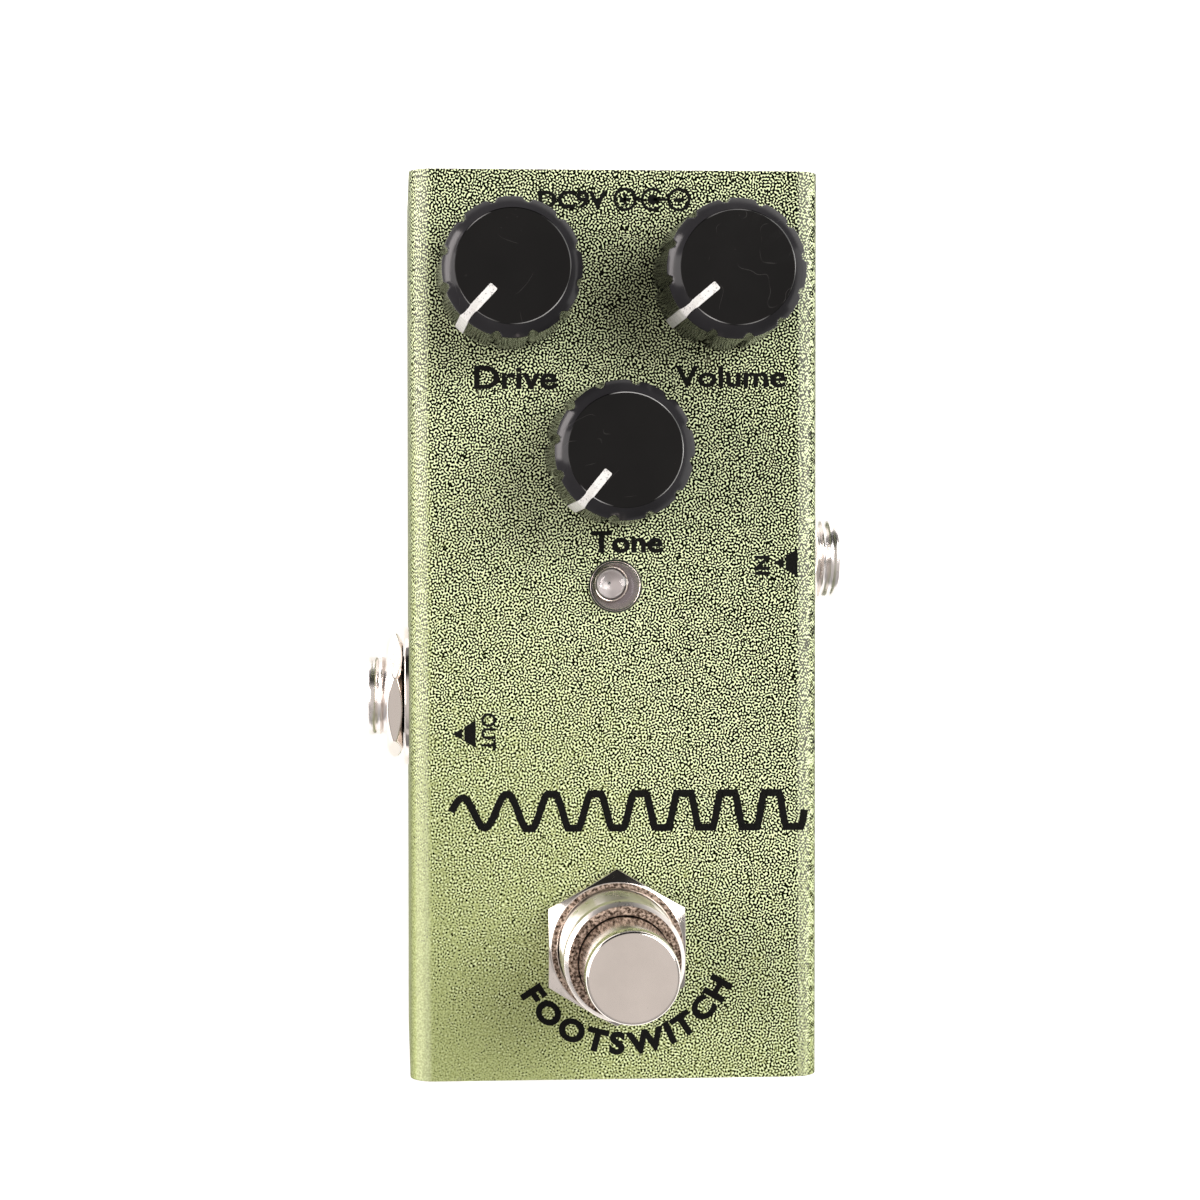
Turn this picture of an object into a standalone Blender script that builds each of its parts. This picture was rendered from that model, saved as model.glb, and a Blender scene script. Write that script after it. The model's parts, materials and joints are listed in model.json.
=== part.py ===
"""A single guitar effects pedal: folded shell case, three knobs, indicator lamp, footswitch and sockets.

Frame: metres, +Z up, +Y towards the power socket end, origin on the floor under the middle of the case.
"""

import math

import bmesh
import bpy

MM = 0.001

# Case
CASE_WIDTH = 42.0 * MM
CASE_LENGTH = 93.0 * MM
CASE_HEIGHT = 31.0 * MM
SHEET = 1.5 * MM
BEND_RADIUS = 2.5 * MM
FOOT_HEIGHT = 1.5 * MM
GAP = 0.3 * MM
PANEL_Z = FOOT_HEIGHT + CASE_HEIGHT
PANEL_UNDER_Z = PANEL_Z - SHEET
FLOOR_Z = FOOT_HEIGHT + SHEET

# Knobs: name, centre on the panel, direction of the pointer at rest (fully counter-clockwise)
KNOBS = {
    "drive": (-11.0 * MM, 35.4 * MM, 227.0),
    "volume": (11.0 * MM, 35.4 * MM, 220.0),
    "tone": (0.0, 17.6 * MM, 231.0),
}
KNOB_FOOT_RADIUS = 7.3 * MM
KNOB_RIM_RADIUS = 6.9 * MM
KNOB_TOP_RADIUS = 5.65 * MM
KNOB_TOP = 11.5 * MM
KNOB_BEVEL = 1.1 * MM
KNOB_LIFT = 0.8 * MM
KNOB_FLUTES = 12
FLUTE_DEPTH = 0.45 * MM
FLUTE_HALF_ANGLE = 4.6
FLUTE_STEPS = (-15.0, -4.6, -2.0, 2.0, 4.6)
KNOB_CAVITY_RADIUS = 5.6 * MM
KNOB_CAVITY_TOP = 3.3 * MM
KNOB_BORE_TOP = 9.3 * MM

# Potentiometers
POT_BODY = (9.6 * MM, 10.8 * MM, 5.5 * MM)
POT_BUSHING_RADIUS = 3.5 * MM
POT_BUSHING_TOP = 2.6 * MM
POT_BORE_RADIUS = 2.9 * MM
POT_NUT_FLATS = 9.0 * MM
POT_NUT_THICKNESS = 1.6 * MM
SHAFT_RADIUS = 3.0 * MM
SHAFT_NECK_RADIUS = 2.6 * MM

# Circuit board
BOARD_WIDTH = 36.0 * MM
BOARD_FRONT = -21.5 * MM
BOARD_REAR = 44.3 * MM
BOARD_THICKNESS = 1.6 * MM
BOARD_TOP_Z = PANEL_UNDER_Z - GAP - POT_BODY[2] - GAP
BOARD_UNDER_Z = BOARD_TOP_Z - BOARD_THICKNESS

# Indicator lamp
LAMP_Y = 4.1 * MM
LAMP_RADIUS = 2.5 * MM
LAMP_FLANGE_RADIUS = 2.9 * MM
LAMP_STAND = 2.6 * MM
LAMP_LENGTH = 8.6 * MM
LEAD_SPACING = 2.54 * MM
LEAD_WIDTH = 0.5 * MM

# Footswitch
SWITCH_Y = -32.7 * MM
SWITCH_BODY = 17.0 * MM
SWITCH_BODY_TOP = 27.5 * MM
SWITCH_BODY_BOTTOM = 15.5 * MM
SWITCH_BUSHING_RADIUS = 6.0 * MM
SWITCH_BUSHING_TOP = PANEL_Z + 10.5 * MM
SWITCH_BUSHING_EDGE = 0.6 * MM
SWITCH_BORE_RADIUS = 4.9 * MM
SWITCH_CAVITY_RADIUS = 6.8 * MM
SWITCH_CAVITY_TOP = 26.0 * MM
SWITCH_CAVITY_BOTTOM = 17.5 * MM
SWITCH_NUT_FLATS = 14.0 * MM
SWITCH_NUT_THICKNESS = 2.0 * MM
BUTTON_RADIUS = 4.6 * MM
BUTTON_TOP = PANEL_Z + 19.0 * MM
BUTTON_FLANGE_RADIUS = 6.3 * MM
BUTTON_FLANGE = 2.0 * MM
SPRING_RADIUS = 4.2 * MM
SPRING_WIRE_RADIUS = 0.3 * MM
SPRING_TURNS = 3
LUG_SPACING = 4.7 * MM

# Plug sockets, one in each long side
SOCKET_Z = FOOT_HEIGHT + 15.0 * MM
SOCKETS = {"output": (-1, -8.0 * MM), "input": (1, 6.75 * MM)}
SOCKET_BUSHING_RADIUS = 4.25 * MM
SOCKET_BORE_RADIUS = 3.2 * MM
SOCKET_REACH = 25.35 * MM
SOCKET_HOUSING = (25.0 * MM, 12.6 * MM, 12.6 * MM)
SOCKET_NUT_FLATS = 12.0 * MM
SOCKET_NUT_THICKNESS = 1.8 * MM
SOCKET_NUT_TURN = -11.3
SOCKET_WASHER_RADIUS = 7.45 * MM
# The input socket's nut sits straight on the wall.
SOCKET_WASHERS = {"output": 0.45 * MM}

# Power socket, hanging under the board at the rear
POWER_SIZE = (9.0 * MM, 14.0 * MM, 11.0 * MM)
POWER_Z = BOARD_UNDER_Z - GAP - 6.5 * MM
POWER_NOSE_RADIUS = 4.3 * MM
POWER_BORE_RADIUS = 3.1 * MM
POWER_BORE_DEPTH = 10.0 * MM
POWER_PIN_RADIUS = 1.0 * MM

# Cover screws
SCREW_Y = 33.0 * MM
SCREW_Z = FOOT_HEIGHT + 6.5 * MM
SCREW_HEAD_RADIUS = 2.7 * MM
SCREW_SHANK_RADIUS = 1.5 * MM
SCREW_LENGTH = 6.0 * MM
SCREW_HEAD = 1.3 * MM

FOOT_RADIUS = 4.0 * MM
FOOT_PLACE = (14.0 * MM, 38.0 * MM)

NUT_CHAMFER = 25.0

# Sides of round pieces: ordinary, small and large
ROUND = 24
ROUND_SMALL = 16
ROUND_LARGE = 32
QUARTER_TURN = math.pi / 2


# Materials


def make_material(name, colour, roughness, metallic=0.0, transmission=0.0):
    material = bpy.data.materials.new(name)
    material.use_nodes = True
    shader = material.node_tree.nodes["Principled BSDF"]
    shader.inputs["Base Color"].default_value = (*colour, 1.0)
    shader.inputs["Roughness"].default_value = roughness
    shader.inputs["Metallic"].default_value = metallic
    shader.inputs["Transmission Weight"].default_value = transmission
    return material


def make_materials():
    return {
        "green_paint": make_material("green_paint", (0.33, 0.39, 0.14), 0.35, 0.5),
        "zinc_sheet": make_material("zinc_sheet", (0.45, 0.45, 0.44), 0.45, 1.0),
        "knob_plastic": make_material("knob_plastic", (0.015, 0.015, 0.016), 0.25),
        "nickel": make_material("nickel", (0.66, 0.61, 0.57), 0.18, 1.0),
        "black_plastic": make_material("black_plastic", (0.02, 0.02, 0.022), 0.5),
        "rubber": make_material("rubber", (0.025, 0.025, 0.025), 0.85),
        "board": make_material("board", (0.03, 0.16, 0.07), 0.45),
        "clear_lens": make_material("clear_lens", (0.9, 0.9, 0.9), 0.05, 0.0, 0.9),
        "contact_brass": make_material("contact_brass", (0.7, 0.5, 0.22), 0.3, 1.0),
        "spring_steel": make_material("spring_steel", (0.5, 0.5, 0.52), 0.3, 1.0),
        "film_red": make_material("film_red", (0.35, 0.05, 0.03), 0.35),
    }


# Modelling helpers


def finish_mesh(name, bm):
    """Turns a bmesh into a mesh with its faces pointing out."""
    bmesh.ops.remove_doubles(bm, verts=bm.verts, dist=1e-7)
    bmesh.ops.recalc_face_normals(bm, faces=bm.faces)
    mesh = bpy.data.meshes.new(name)
    bm.to_mesh(mesh)
    bm.free()
    return mesh


def add_object(name, mesh, material=None, location=(0.0, 0.0, 0.0), rotation=(0.0, 0.0, 0.0), smooth=True):
    """Adds a mesh as an object, shaded smooth with sharp edges over 30 degrees."""
    thing = bpy.data.objects.new(name, mesh)
    thing.location = location
    thing.rotation_euler = rotation
    bpy.context.scene.collection.objects.link(thing)
    if material is not None:
        mesh.materials.append(material)
    if smooth:
        mesh.shade_smooth()
        mesh.set_sharp_from_angle(angle=math.radians(30))
    return thing


def box_mesh(name, low, high):
    """An upright box between two corners."""
    bm = bmesh.new()
    bmesh.ops.create_cube(bm, size=1.0)
    for vert in bm.verts:
        for axis in range(3):
            middle = (low[axis] + high[axis]) / 2
            vert.co[axis] = middle + vert.co[axis] * (high[axis] - low[axis])
    return finish_mesh(name, bm)


def turned_mesh(name, profile, segments):
    """A solid of revolution about Z from its outline in radius and height."""
    bm = bmesh.new()
    verts = [bm.verts.new((radius, 0.0, height)) for radius, height in profile]
    for first, second in zip(verts, verts[1:] + verts[:1]):
        if first.co.x > 0 or second.co.x > 0:
            bm.edges.new((first, second))
    bmesh.ops.spin(
        bm,
        geom=bm.verts[:] + bm.edges[:],
        cent=(0, 0, 0),
        axis=(0, 0, 1),
        angle=math.tau,
        steps=segments,
        use_merge=True,
    )
    return finish_mesh(name, bm)


def prism_mesh(name, outline, low, high):
    """A flat outline in X and Y, extruded from low to high along Z."""
    bm = bmesh.new()
    face = bm.faces.new([bm.verts.new((x, y, low)) for x, y in outline])
    raised = bmesh.ops.extrude_face_region(bm, geom=[face])
    for item in raised["geom"]:
        if isinstance(item, bmesh.types.BMVert):
            item.co.z = high
    return finish_mesh(name, bm)


def arc(centre, radius, start, end, steps):
    """Points along an arc, angles in degrees."""
    points = []
    for step in range(steps + 1):
        angle = math.radians(start + (end - start) * step / steps)
        points.append((centre[0] + radius * math.cos(angle), centre[1] + radius * math.sin(angle)))
    return points


def hexagon(flats, turn=0.0):
    """A hexagon's corners from its size across flats; the first flat faces +X."""
    corner = flats / math.sqrt(3)
    angles = [math.radians(turn + 30 + 60 * side) for side in range(6)]
    return [(corner * math.cos(angle), corner * math.sin(angle)) for angle in angles]


def boolean(thing, tool, operation="DIFFERENCE"):
    """Applies a tool object to a thing; the tool stays hidden."""
    tool.hide_render = True
    tool.display_type = "WIRE"
    modifier = thing.modifiers.new(tool.name, "BOOLEAN")
    modifier.object = tool
    modifier.operation = operation
    modifier.solver = "EXACT"


def drill(thing, name, radius, low, high, location, rotation=(0.0, 0.0, 0.0), segments=ROUND):
    """Cuts a round hole along the tool's own Z."""
    profile = [(0.0, high), (radius, high), (radius, low), (0.0, low)]
    tool = add_object(name, turned_mesh(name, profile, segments), None, location, rotation)
    boolean(thing, tool)


def plain_nut(name, flats, bore, thickness, material, location, rotation=(0.0, 0.0, 0.0), turn=0.0):
    """A hexagon nut standing on its own origin."""
    mesh = prism_mesh(name, hexagon(flats, turn), 0.0, thickness)
    thing = add_object(name, mesh, material, location, rotation)
    drill(thing, name + "_bore", bore, -thickness, 2 * thickness, location, rotation)
    return thing


def turn_down_corners(thing, flats, thickness):
    """Chamfers a nut's corners on both faces."""
    face_radius = flats / 2
    reach = flats / math.sqrt(3) + 0.05 * MM
    drop = (reach - face_radius) * math.tan(math.radians(NUT_CHAMFER))
    profile = [
        (0.0, thickness),
        (face_radius, thickness),
        (reach, thickness - drop),
        (reach, drop),
        (face_radius, 0.0),
        (0.0, 0.0),
    ]
    mesh = turned_mesh(thing.name, profile, ROUND_LARGE)
    tool = add_object(thing.name + "_corners", mesh, None, thing.location, thing.rotation_euler)
    boolean(thing, tool, "INTERSECT")


# Case


def cover_outline():
    """The cover's cross-section in X and Z: two walls and the panel, joined by round bends."""
    half = CASE_WIDTH / 2
    inner = half - SHEET
    bend_z = PANEL_Z - BEND_RADIUS
    bend_x = half - BEND_RADIUS
    inner_bend = BEND_RADIUS - SHEET
    outline = [(-half, FOOT_HEIGHT)]
    outline += arc((-bend_x, bend_z), BEND_RADIUS, 180, 90, 6)
    outline += arc((bend_x, bend_z), BEND_RADIUS, 90, 0, 6)
    outline += [(half, FOOT_HEIGHT), (inner, FOOT_HEIGHT)]
    outline += arc((bend_x, bend_z), inner_bend, 0, 90, 3)
    outline += arc((-bend_x, bend_z), inner_bend, 90, 180, 3)
    outline += [(-inner, FOOT_HEIGHT)]
    return outline


def make_top_cover(materials):
    mesh = prism_mesh("top_cover", cover_outline(), -CASE_LENGTH / 2, CASE_LENGTH / 2)
    cover = add_object("top_cover", mesh, materials["green_paint"], rotation=(QUARTER_TURN, 0, 0))
    low = -2 * SHEET
    for name, (x, y, _) in KNOBS.items():
        drill(cover, f"{name}_panel_hole", POT_BUSHING_RADIUS + GAP, low, SHEET, (x, y, PANEL_Z))
    drill(cover, "lamp_panel_hole", LAMP_RADIUS + GAP, low, SHEET, (0, LAMP_Y, PANEL_Z))
    drill(cover, "switch_panel_hole", SWITCH_BUSHING_RADIUS + GAP, low, SHEET, (0, SWITCH_Y, PANEL_Z))
    for name, (side, y) in SOCKETS.items():
        place = (side * CASE_WIDTH / 2, y, SOCKET_Z)
        radius = SOCKET_BUSHING_RADIUS + GAP
        drill(cover, f"{name}_side_hole", radius, low, -low, place, (0, QUARTER_TURN, 0))
    for name, side, y in screw_places():
        sink = turned_mesh(
            name,
            [
                (0.0, SHEET),
                (SCREW_HEAD_RADIUS + GAP + SHEET, SHEET),
                (SCREW_SHANK_RADIUS + GAP, -SCREW_HEAD),
                (SCREW_SHANK_RADIUS + GAP, -2 * SHEET),
                (0.0, -2 * SHEET),
            ],
            ROUND_SMALL,
        )
        turn = (0, side * QUARTER_TURN, 0)
        tool = add_object(f"{name}_sink", sink, None, (side * CASE_WIDTH / 2, y, SCREW_Z), turn)
        boolean(cover, tool)


def make_base_tray(materials):
    """The floor and both ends, one folded sheet, with four tabs for the cover screws."""
    half_length = CASE_LENGTH / 2 - GAP
    half_width = CASE_WIDTH / 2 - SHEET - GAP
    bend = BEND_RADIUS
    end_top = PANEL_UNDER_Z - (BEND_RADIUS - SHEET)
    outline = [(half_length, end_top)]
    outline += arc((half_length - bend, FOOT_HEIGHT + bend), bend, 0, -90, 6)
    outline += arc((-half_length + bend, FOOT_HEIGHT + bend), bend, -90, -180, 6)
    outline += [(-half_length, end_top), (-half_length + SHEET, end_top)]
    outline += arc((-half_length + bend, FOOT_HEIGHT + bend), bend - SHEET, 180, 270, 3)
    outline += arc((half_length - bend, FOOT_HEIGHT + bend), bend - SHEET, 270, 360, 3)
    outline += [(half_length - SHEET, end_top)]
    mesh = prism_mesh("base_tray", outline, -half_width, half_width)
    tray = add_object("base_tray", mesh, materials["zinc_sheet"], rotation=(QUARTER_TURN, 0, QUARTER_TURN))
    tab_half = 5.0 * MM
    tab_top = SCREW_Z + 4.5 * MM
    for name, side, y in screw_places():
        faces = sorted((side * half_width, side * (half_width - SHEET)))
        low = (faces[0], y - tab_half, FOOT_HEIGHT + SHEET / 2)
        high = (faces[1], y + tab_half, tab_top)
        boolean(tray, add_object(f"{name}_tab", box_mesh(name, low, high)), "UNION")
        place = (side * half_width, y, SCREW_Z)
        turn = (0, QUARTER_TURN, 0)
        drill(tray, f"{name}_hole", SCREW_SHANK_RADIUS + GAP, -4 * MM, 4 * MM, place, turn, ROUND_SMALL)
    place = (0, half_length, POWER_Z)
    drill(tray, "power_hole", POWER_NOSE_RADIUS + GAP, -4 * MM, 4 * MM, place, (QUARTER_TURN, 0, 0))


def screw_places():
    """Name, side and length-wise place of each cover screw."""
    places = []
    for side_name, side in (("left", -1), ("right", 1)):
        for end_name, end in (("front", -1), ("rear", 1)):
            places.append((f"{side_name}_{end_name}_screw", side, end * SCREW_Y))
    return places


def make_cover_screws(materials):
    """Countersunk cross-head screws, heads level with the cover's sides."""
    profile = [
        (0.0, 0.0),
        (SCREW_HEAD_RADIUS, 0.0),
        (SCREW_SHANK_RADIUS, -SCREW_HEAD),
        (SCREW_SHANK_RADIUS, -SCREW_LENGTH + 0.5 * MM),
        (SCREW_SHANK_RADIUS - 0.5 * MM, -SCREW_LENGTH),
        (0.0, -SCREW_LENGTH),
    ]
    arm, width, depth = 1.5 * MM, 0.28 * MM, 0.9 * MM
    for name, side, y in screw_places():
        turn = (0, side * QUARTER_TURN, 0)
        place = (side * (CASE_WIDTH / 2 - 0.05 * MM), y, SCREW_Z)
        screw = add_object(name, turned_mesh(name, profile, ROUND_SMALL), materials["nickel"], place, turn)
        for index, (x, z) in enumerate(((arm, width), (width, arm))):
            cut = box_mesh(name, (-x, -z, -depth), (x, z, depth))
            boolean(screw, add_object(f"{name}_slot_{index}", cut, None, place, turn))


def make_feet(materials):
    """Low rubber buttons under the tray's corners."""
    top = FOOT_HEIGHT - GAP
    profile = [(0.0, top), (FOOT_RADIUS, top)]
    profile += [(x, z) for x, z in arc((FOOT_RADIUS - 0.8 * MM, 0.8 * MM), 0.8 * MM, 0, -90, 2)]
    profile += [(0.0, 0.0)]
    for side_name, side in (("left", -1), ("right", 1)):
        for end_name, end in (("front", -1), ("rear", 1)):
            name = f"{side_name}_{end_name}_foot"
            place = (side * FOOT_PLACE[0], end * FOOT_PLACE[1], 0)
            add_object(name, turned_mesh(name, profile, ROUND_SMALL), materials["rubber"], place)


# Controls


def make_potentiometer(name, x, y, materials):
    """The can with its threaded bushing, and the nut that clamps it to the panel."""
    can_top = PANEL_UNDER_Z - GAP
    half_x, half_y = POT_BODY[0] / 2, POT_BODY[1] / 2
    can = box_mesh(name, (-half_x, -half_y, can_top - POT_BODY[2]), (half_x, half_y, can_top))
    pot = add_object(f"{name}_potentiometer", can, materials["zinc_sheet"], (x, y, 0))
    bushing_top = PANEL_Z + POT_BUSHING_TOP
    profile = [
        (0.0, bushing_top),
        (POT_BUSHING_RADIUS - 0.3 * MM, bushing_top),
        (POT_BUSHING_RADIUS, bushing_top - 0.3 * MM),
        (POT_BUSHING_RADIUS, can_top - MM),
        (0.0, can_top - MM),
    ]
    boolean(pot, add_object(f"{name}_bushing", turned_mesh(name, profile, ROUND), None, (x, y, 0)), "UNION")
    bore_bottom = can_top - POT_BODY[2] + 1.8 * MM
    drill(pot, f"{name}_pot_bore", POT_BORE_RADIUS, bore_bottom, PANEL_Z + 5 * MM, (x, y, 0))
    bore = POT_BUSHING_RADIUS + GAP
    nut_place = (x, y, PANEL_Z + GAP)
    plain_nut(f"{name}_pot_nut", POT_NUT_FLATS, bore, POT_NUT_THICKNESS, materials["nickel"], nut_place)


def make_shaft(name, x, y, materials):
    """The turning shaft: a neck inside the bushing and a thicker end in the knob."""
    shoulder = PANEL_Z + POT_BUSHING_TOP + GAP
    top = PANEL_Z + KNOB_BORE_TOP - GAP
    bottom = PANEL_UNDER_Z - GAP - POT_BODY[2] + 2.1 * MM
    profile = [
        (0.0, top),
        (SHAFT_RADIUS - 0.4 * MM, top),
        (SHAFT_RADIUS, top - 0.4 * MM),
        (SHAFT_RADIUS, shoulder),
        (SHAFT_NECK_RADIUS, shoulder),
        (SHAFT_NECK_RADIUS, bottom),
        (0.0, bottom),
    ]
    mesh = turned_mesh(f"{name}_shaft", profile, ROUND_SMALL)
    add_object(f"{name}_shaft", mesh, materials["contact_brass"], (x, y, 0))


def flute_cut(angle):
    """How deep the nearest flute is at an angle in degrees from a flute's middle, from 0 to 1."""
    pitch = 360 / KNOB_FLUTES
    away = abs((angle + pitch / 2) % pitch - pitch / 2)
    return max(0.0, 1 - away / FLUTE_HALF_ANGLE)


def make_knob(name, x, y, pointer, materials):
    """A fluted knob with a bevelled rim, hollow below for the nut, bored for the shaft."""
    rings = [
        (KNOB_TOP_RADIUS, KNOB_TOP, 0.0),
        (KNOB_RIM_RADIUS, KNOB_TOP - KNOB_BEVEL, 1.0),
        (KNOB_FOOT_RADIUS, KNOB_LIFT, 1.0),
        (KNOB_CAVITY_RADIUS, KNOB_LIFT, 0.0),
        (KNOB_CAVITY_RADIUS, KNOB_CAVITY_TOP, 0.0),
        (SHAFT_RADIUS + GAP, KNOB_CAVITY_TOP, 0.0),
        (SHAFT_RADIUS + GAP, KNOB_BORE_TOP, 0.0),
    ]
    pitch = 360 / KNOB_FLUTES
    angles = [flute * pitch + step for flute in range(KNOB_FLUTES) for step in FLUTE_STEPS]
    bm = bmesh.new()
    loops = []
    for radius, height, fluted in rings:
        loop = []
        for angle in angles:
            reach = radius - fluted * FLUTE_DEPTH * flute_cut(angle)
            turn = math.radians(angle)
            loop.append(bm.verts.new((reach * math.cos(turn), reach * math.sin(turn), height)))
        loops.append(loop)
    for upper, lower in zip(loops, loops[1:]):
        for index in range(len(angles)):
            after = (index + 1) % len(angles)
            bm.faces.new((upper[index], lower[index], lower[after], upper[after]))
    bm.faces.new(loops[0])
    bm.faces.new(loops[-1])
    mesh = finish_mesh(f"{name}_knob", bm)
    place = (x, y, PANEL_Z)
    add_object(f"{name}_knob", mesh, materials["knob_plastic"], place, (0, 0, math.radians(pointer)))


def make_lamp(materials):
    """A five-millimetre lamp with a domed lens, standing on two leads."""
    top = PANEL_Z + LAMP_STAND
    bottom = top - LAMP_LENGTH
    flange_top = bottom + MM
    dome_z = top - LAMP_RADIUS
    profile = [(0.0, top)]
    profile += arc((0.0, dome_z), LAMP_RADIUS, 70, 0, 4)
    profile += [(LAMP_RADIUS, flange_top), (LAMP_FLANGE_RADIUS, flange_top)]
    profile += [(LAMP_FLANGE_RADIUS, bottom), (0.0, bottom)]
    add_object("lamp_lens", turned_mesh("lamp_lens", profile, ROUND), materials["clear_lens"], (0, LAMP_Y, 0))
    half = LEAD_WIDTH / 2
    low_z = BOARD_UNDER_Z - 0.2 * MM
    for name, side in (("lamp_anode_lead", -1), ("lamp_cathode_lead", 1)):
        x = side * LEAD_SPACING / 2
        lead = box_mesh(name, (x - half, LAMP_Y - half, low_z), (x + half, LAMP_Y + half, bottom - GAP))
        add_object(name, lead, materials["nickel"], smooth=False)


# Footswitch


def make_footswitch_body(materials):
    """The can and its threaded bushing, hollow for the plunger and its spring."""
    half = SWITCH_BODY / 2
    can = box_mesh("footswitch_body", (-half, -half, SWITCH_BODY_BOTTOM), (half, half, SWITCH_BODY_TOP))
    place = (0, SWITCH_Y, 0)
    body = add_object("footswitch_body", can, materials["nickel"], place)
    edge = SWITCH_BUSHING_EDGE
    bushing = [
        (0.0, SWITCH_BUSHING_TOP),
        (SWITCH_BUSHING_RADIUS - edge, SWITCH_BUSHING_TOP),
        (SWITCH_BUSHING_RADIUS, SWITCH_BUSHING_TOP - edge),
        (SWITCH_BUSHING_RADIUS, SWITCH_BODY_TOP - MM),
        (0.0, SWITCH_BODY_TOP - MM),
    ]
    bushing_mesh = turned_mesh("switch_bushing", bushing, ROUND_LARGE)
    boolean(body, add_object("switch_bushing", bushing_mesh, None, place), "UNION")
    hollow = [
        (0.0, SWITCH_BUSHING_TOP + MM),
        (SWITCH_BORE_RADIUS, SWITCH_BUSHING_TOP + MM),
        (SWITCH_BORE_RADIUS, SWITCH_CAVITY_TOP),
        (SWITCH_CAVITY_RADIUS, SWITCH_CAVITY_TOP),
        (SWITCH_CAVITY_RADIUS, SWITCH_CAVITY_BOTTOM),
        (0.0, SWITCH_CAVITY_BOTTOM),
    ]
    boolean(body, add_object("switch_hollow", turned_mesh("switch_hollow", hollow, ROUND_LARGE), None, place))


def make_footswitch_button(materials):
    """The flat-topped button with a flange at its foot that stops under the can's roof."""
    flange_top = SWITCH_CAVITY_TOP - GAP
    edge = 0.4 * MM
    profile = [(0.0, BUTTON_TOP)]
    profile += arc((BUTTON_RADIUS - edge, BUTTON_TOP - edge), edge, 90, 0, 3)
    profile += [(BUTTON_RADIUS, flange_top), (BUTTON_FLANGE_RADIUS, flange_top)]
    profile += [(BUTTON_FLANGE_RADIUS, flange_top - BUTTON_FLANGE), (0.0, flange_top - BUTTON_FLANGE)]
    mesh = turned_mesh("footswitch_button", profile, ROUND_LARGE)
    add_object("footswitch_button", mesh, materials["nickel"], (0, SWITCH_Y, 0))


def make_footswitch_spring(materials):
    """The return spring under the button's flange."""
    wire = SPRING_WIRE_RADIUS
    low = SWITCH_CAVITY_BOTTOM + GAP + wire
    high = SWITCH_CAVITY_TOP - GAP - BUTTON_FLANGE - GAP - wire
    steps_per_turn = 12
    steps = SPRING_TURNS * steps_per_turn
    curve = bpy.data.curves.new("footswitch_spring", "CURVE")
    curve.dimensions = "3D"
    curve.bevel_depth = wire
    curve.bevel_resolution = 1
    curve.use_fill_caps = True
    spline = curve.splines.new("POLY")
    spline.points.add(steps)
    for step, point in enumerate(spline.points):
        angle = math.tau * step / steps_per_turn
        x, y = SPRING_RADIUS * math.cos(angle), SPRING_RADIUS * math.sin(angle)
        point.co = (x, y, low + (high - low) * step / steps, 1.0)
    curve.materials.append(materials["spring_steel"])
    spring = bpy.data.objects.new("footswitch_spring", curve)
    spring.location = (0, SWITCH_Y, 0)
    bpy.context.scene.collection.objects.link(spring)


def make_footswitch_base(materials):
    """The insulating base with its nine solder lugs."""
    half = SWITCH_BODY / 2
    top = SWITCH_BODY_BOTTOM - GAP
    bottom = top - 2.0 * MM
    base = box_mesh("footswitch_base", (-half, -half, bottom), (half, half, top))
    thing = add_object("footswitch_base", base, materials["black_plastic"], (0, SWITCH_Y, 0))
    lug_x, lug_y, lug_length = 1.0 * MM, 0.35 * MM, 3.6 * MM
    for row in (-1, 0, 1):
        for column in (-1, 0, 1):
            x, y = column * LUG_SPACING, row * LUG_SPACING
            low = (x - lug_x, y - lug_y, bottom - lug_length)
            high = (x + lug_x, y + lug_y, bottom + MM)
            name = f"switch_lug_{row + 2}_{column + 2}"
            boolean(thing, add_object(name, box_mesh(name, low, high), None, (0, SWITCH_Y, 0)), "UNION")


def make_footswitch_fasteners(materials):
    """The panel nut above the panel; the lock washer and the inner nut below it."""
    bore = SWITCH_BUSHING_RADIUS + GAP
    nickel = materials["nickel"]
    flats = SWITCH_NUT_FLATS
    place = (0, SWITCH_Y, PANEL_Z + GAP)
    panel_nut = plain_nut("footswitch_nut", flats, bore, SWITCH_NUT_THICKNESS, nickel, place)
    turn_down_corners(panel_nut, flats, SWITCH_NUT_THICKNESS)
    inner_z = SWITCH_BODY_TOP + GAP
    inner_thickness = 1.8 * MM
    plain_nut("footswitch_inner_nut", flats, bore, inner_thickness, nickel, (0, SWITCH_Y, inner_z))
    washer_bottom = inner_z + inner_thickness + GAP
    washer_top = PANEL_UNDER_Z - GAP
    profile = [(bore, washer_top), (8.2 * MM, washer_top), (8.2 * MM, washer_bottom), (bore, washer_bottom)]
    mesh = turned_mesh("footswitch_washer", profile, ROUND)
    add_object("footswitch_washer", mesh, materials["spring_steel"], (0, SWITCH_Y, 0))


# Sockets


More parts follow.
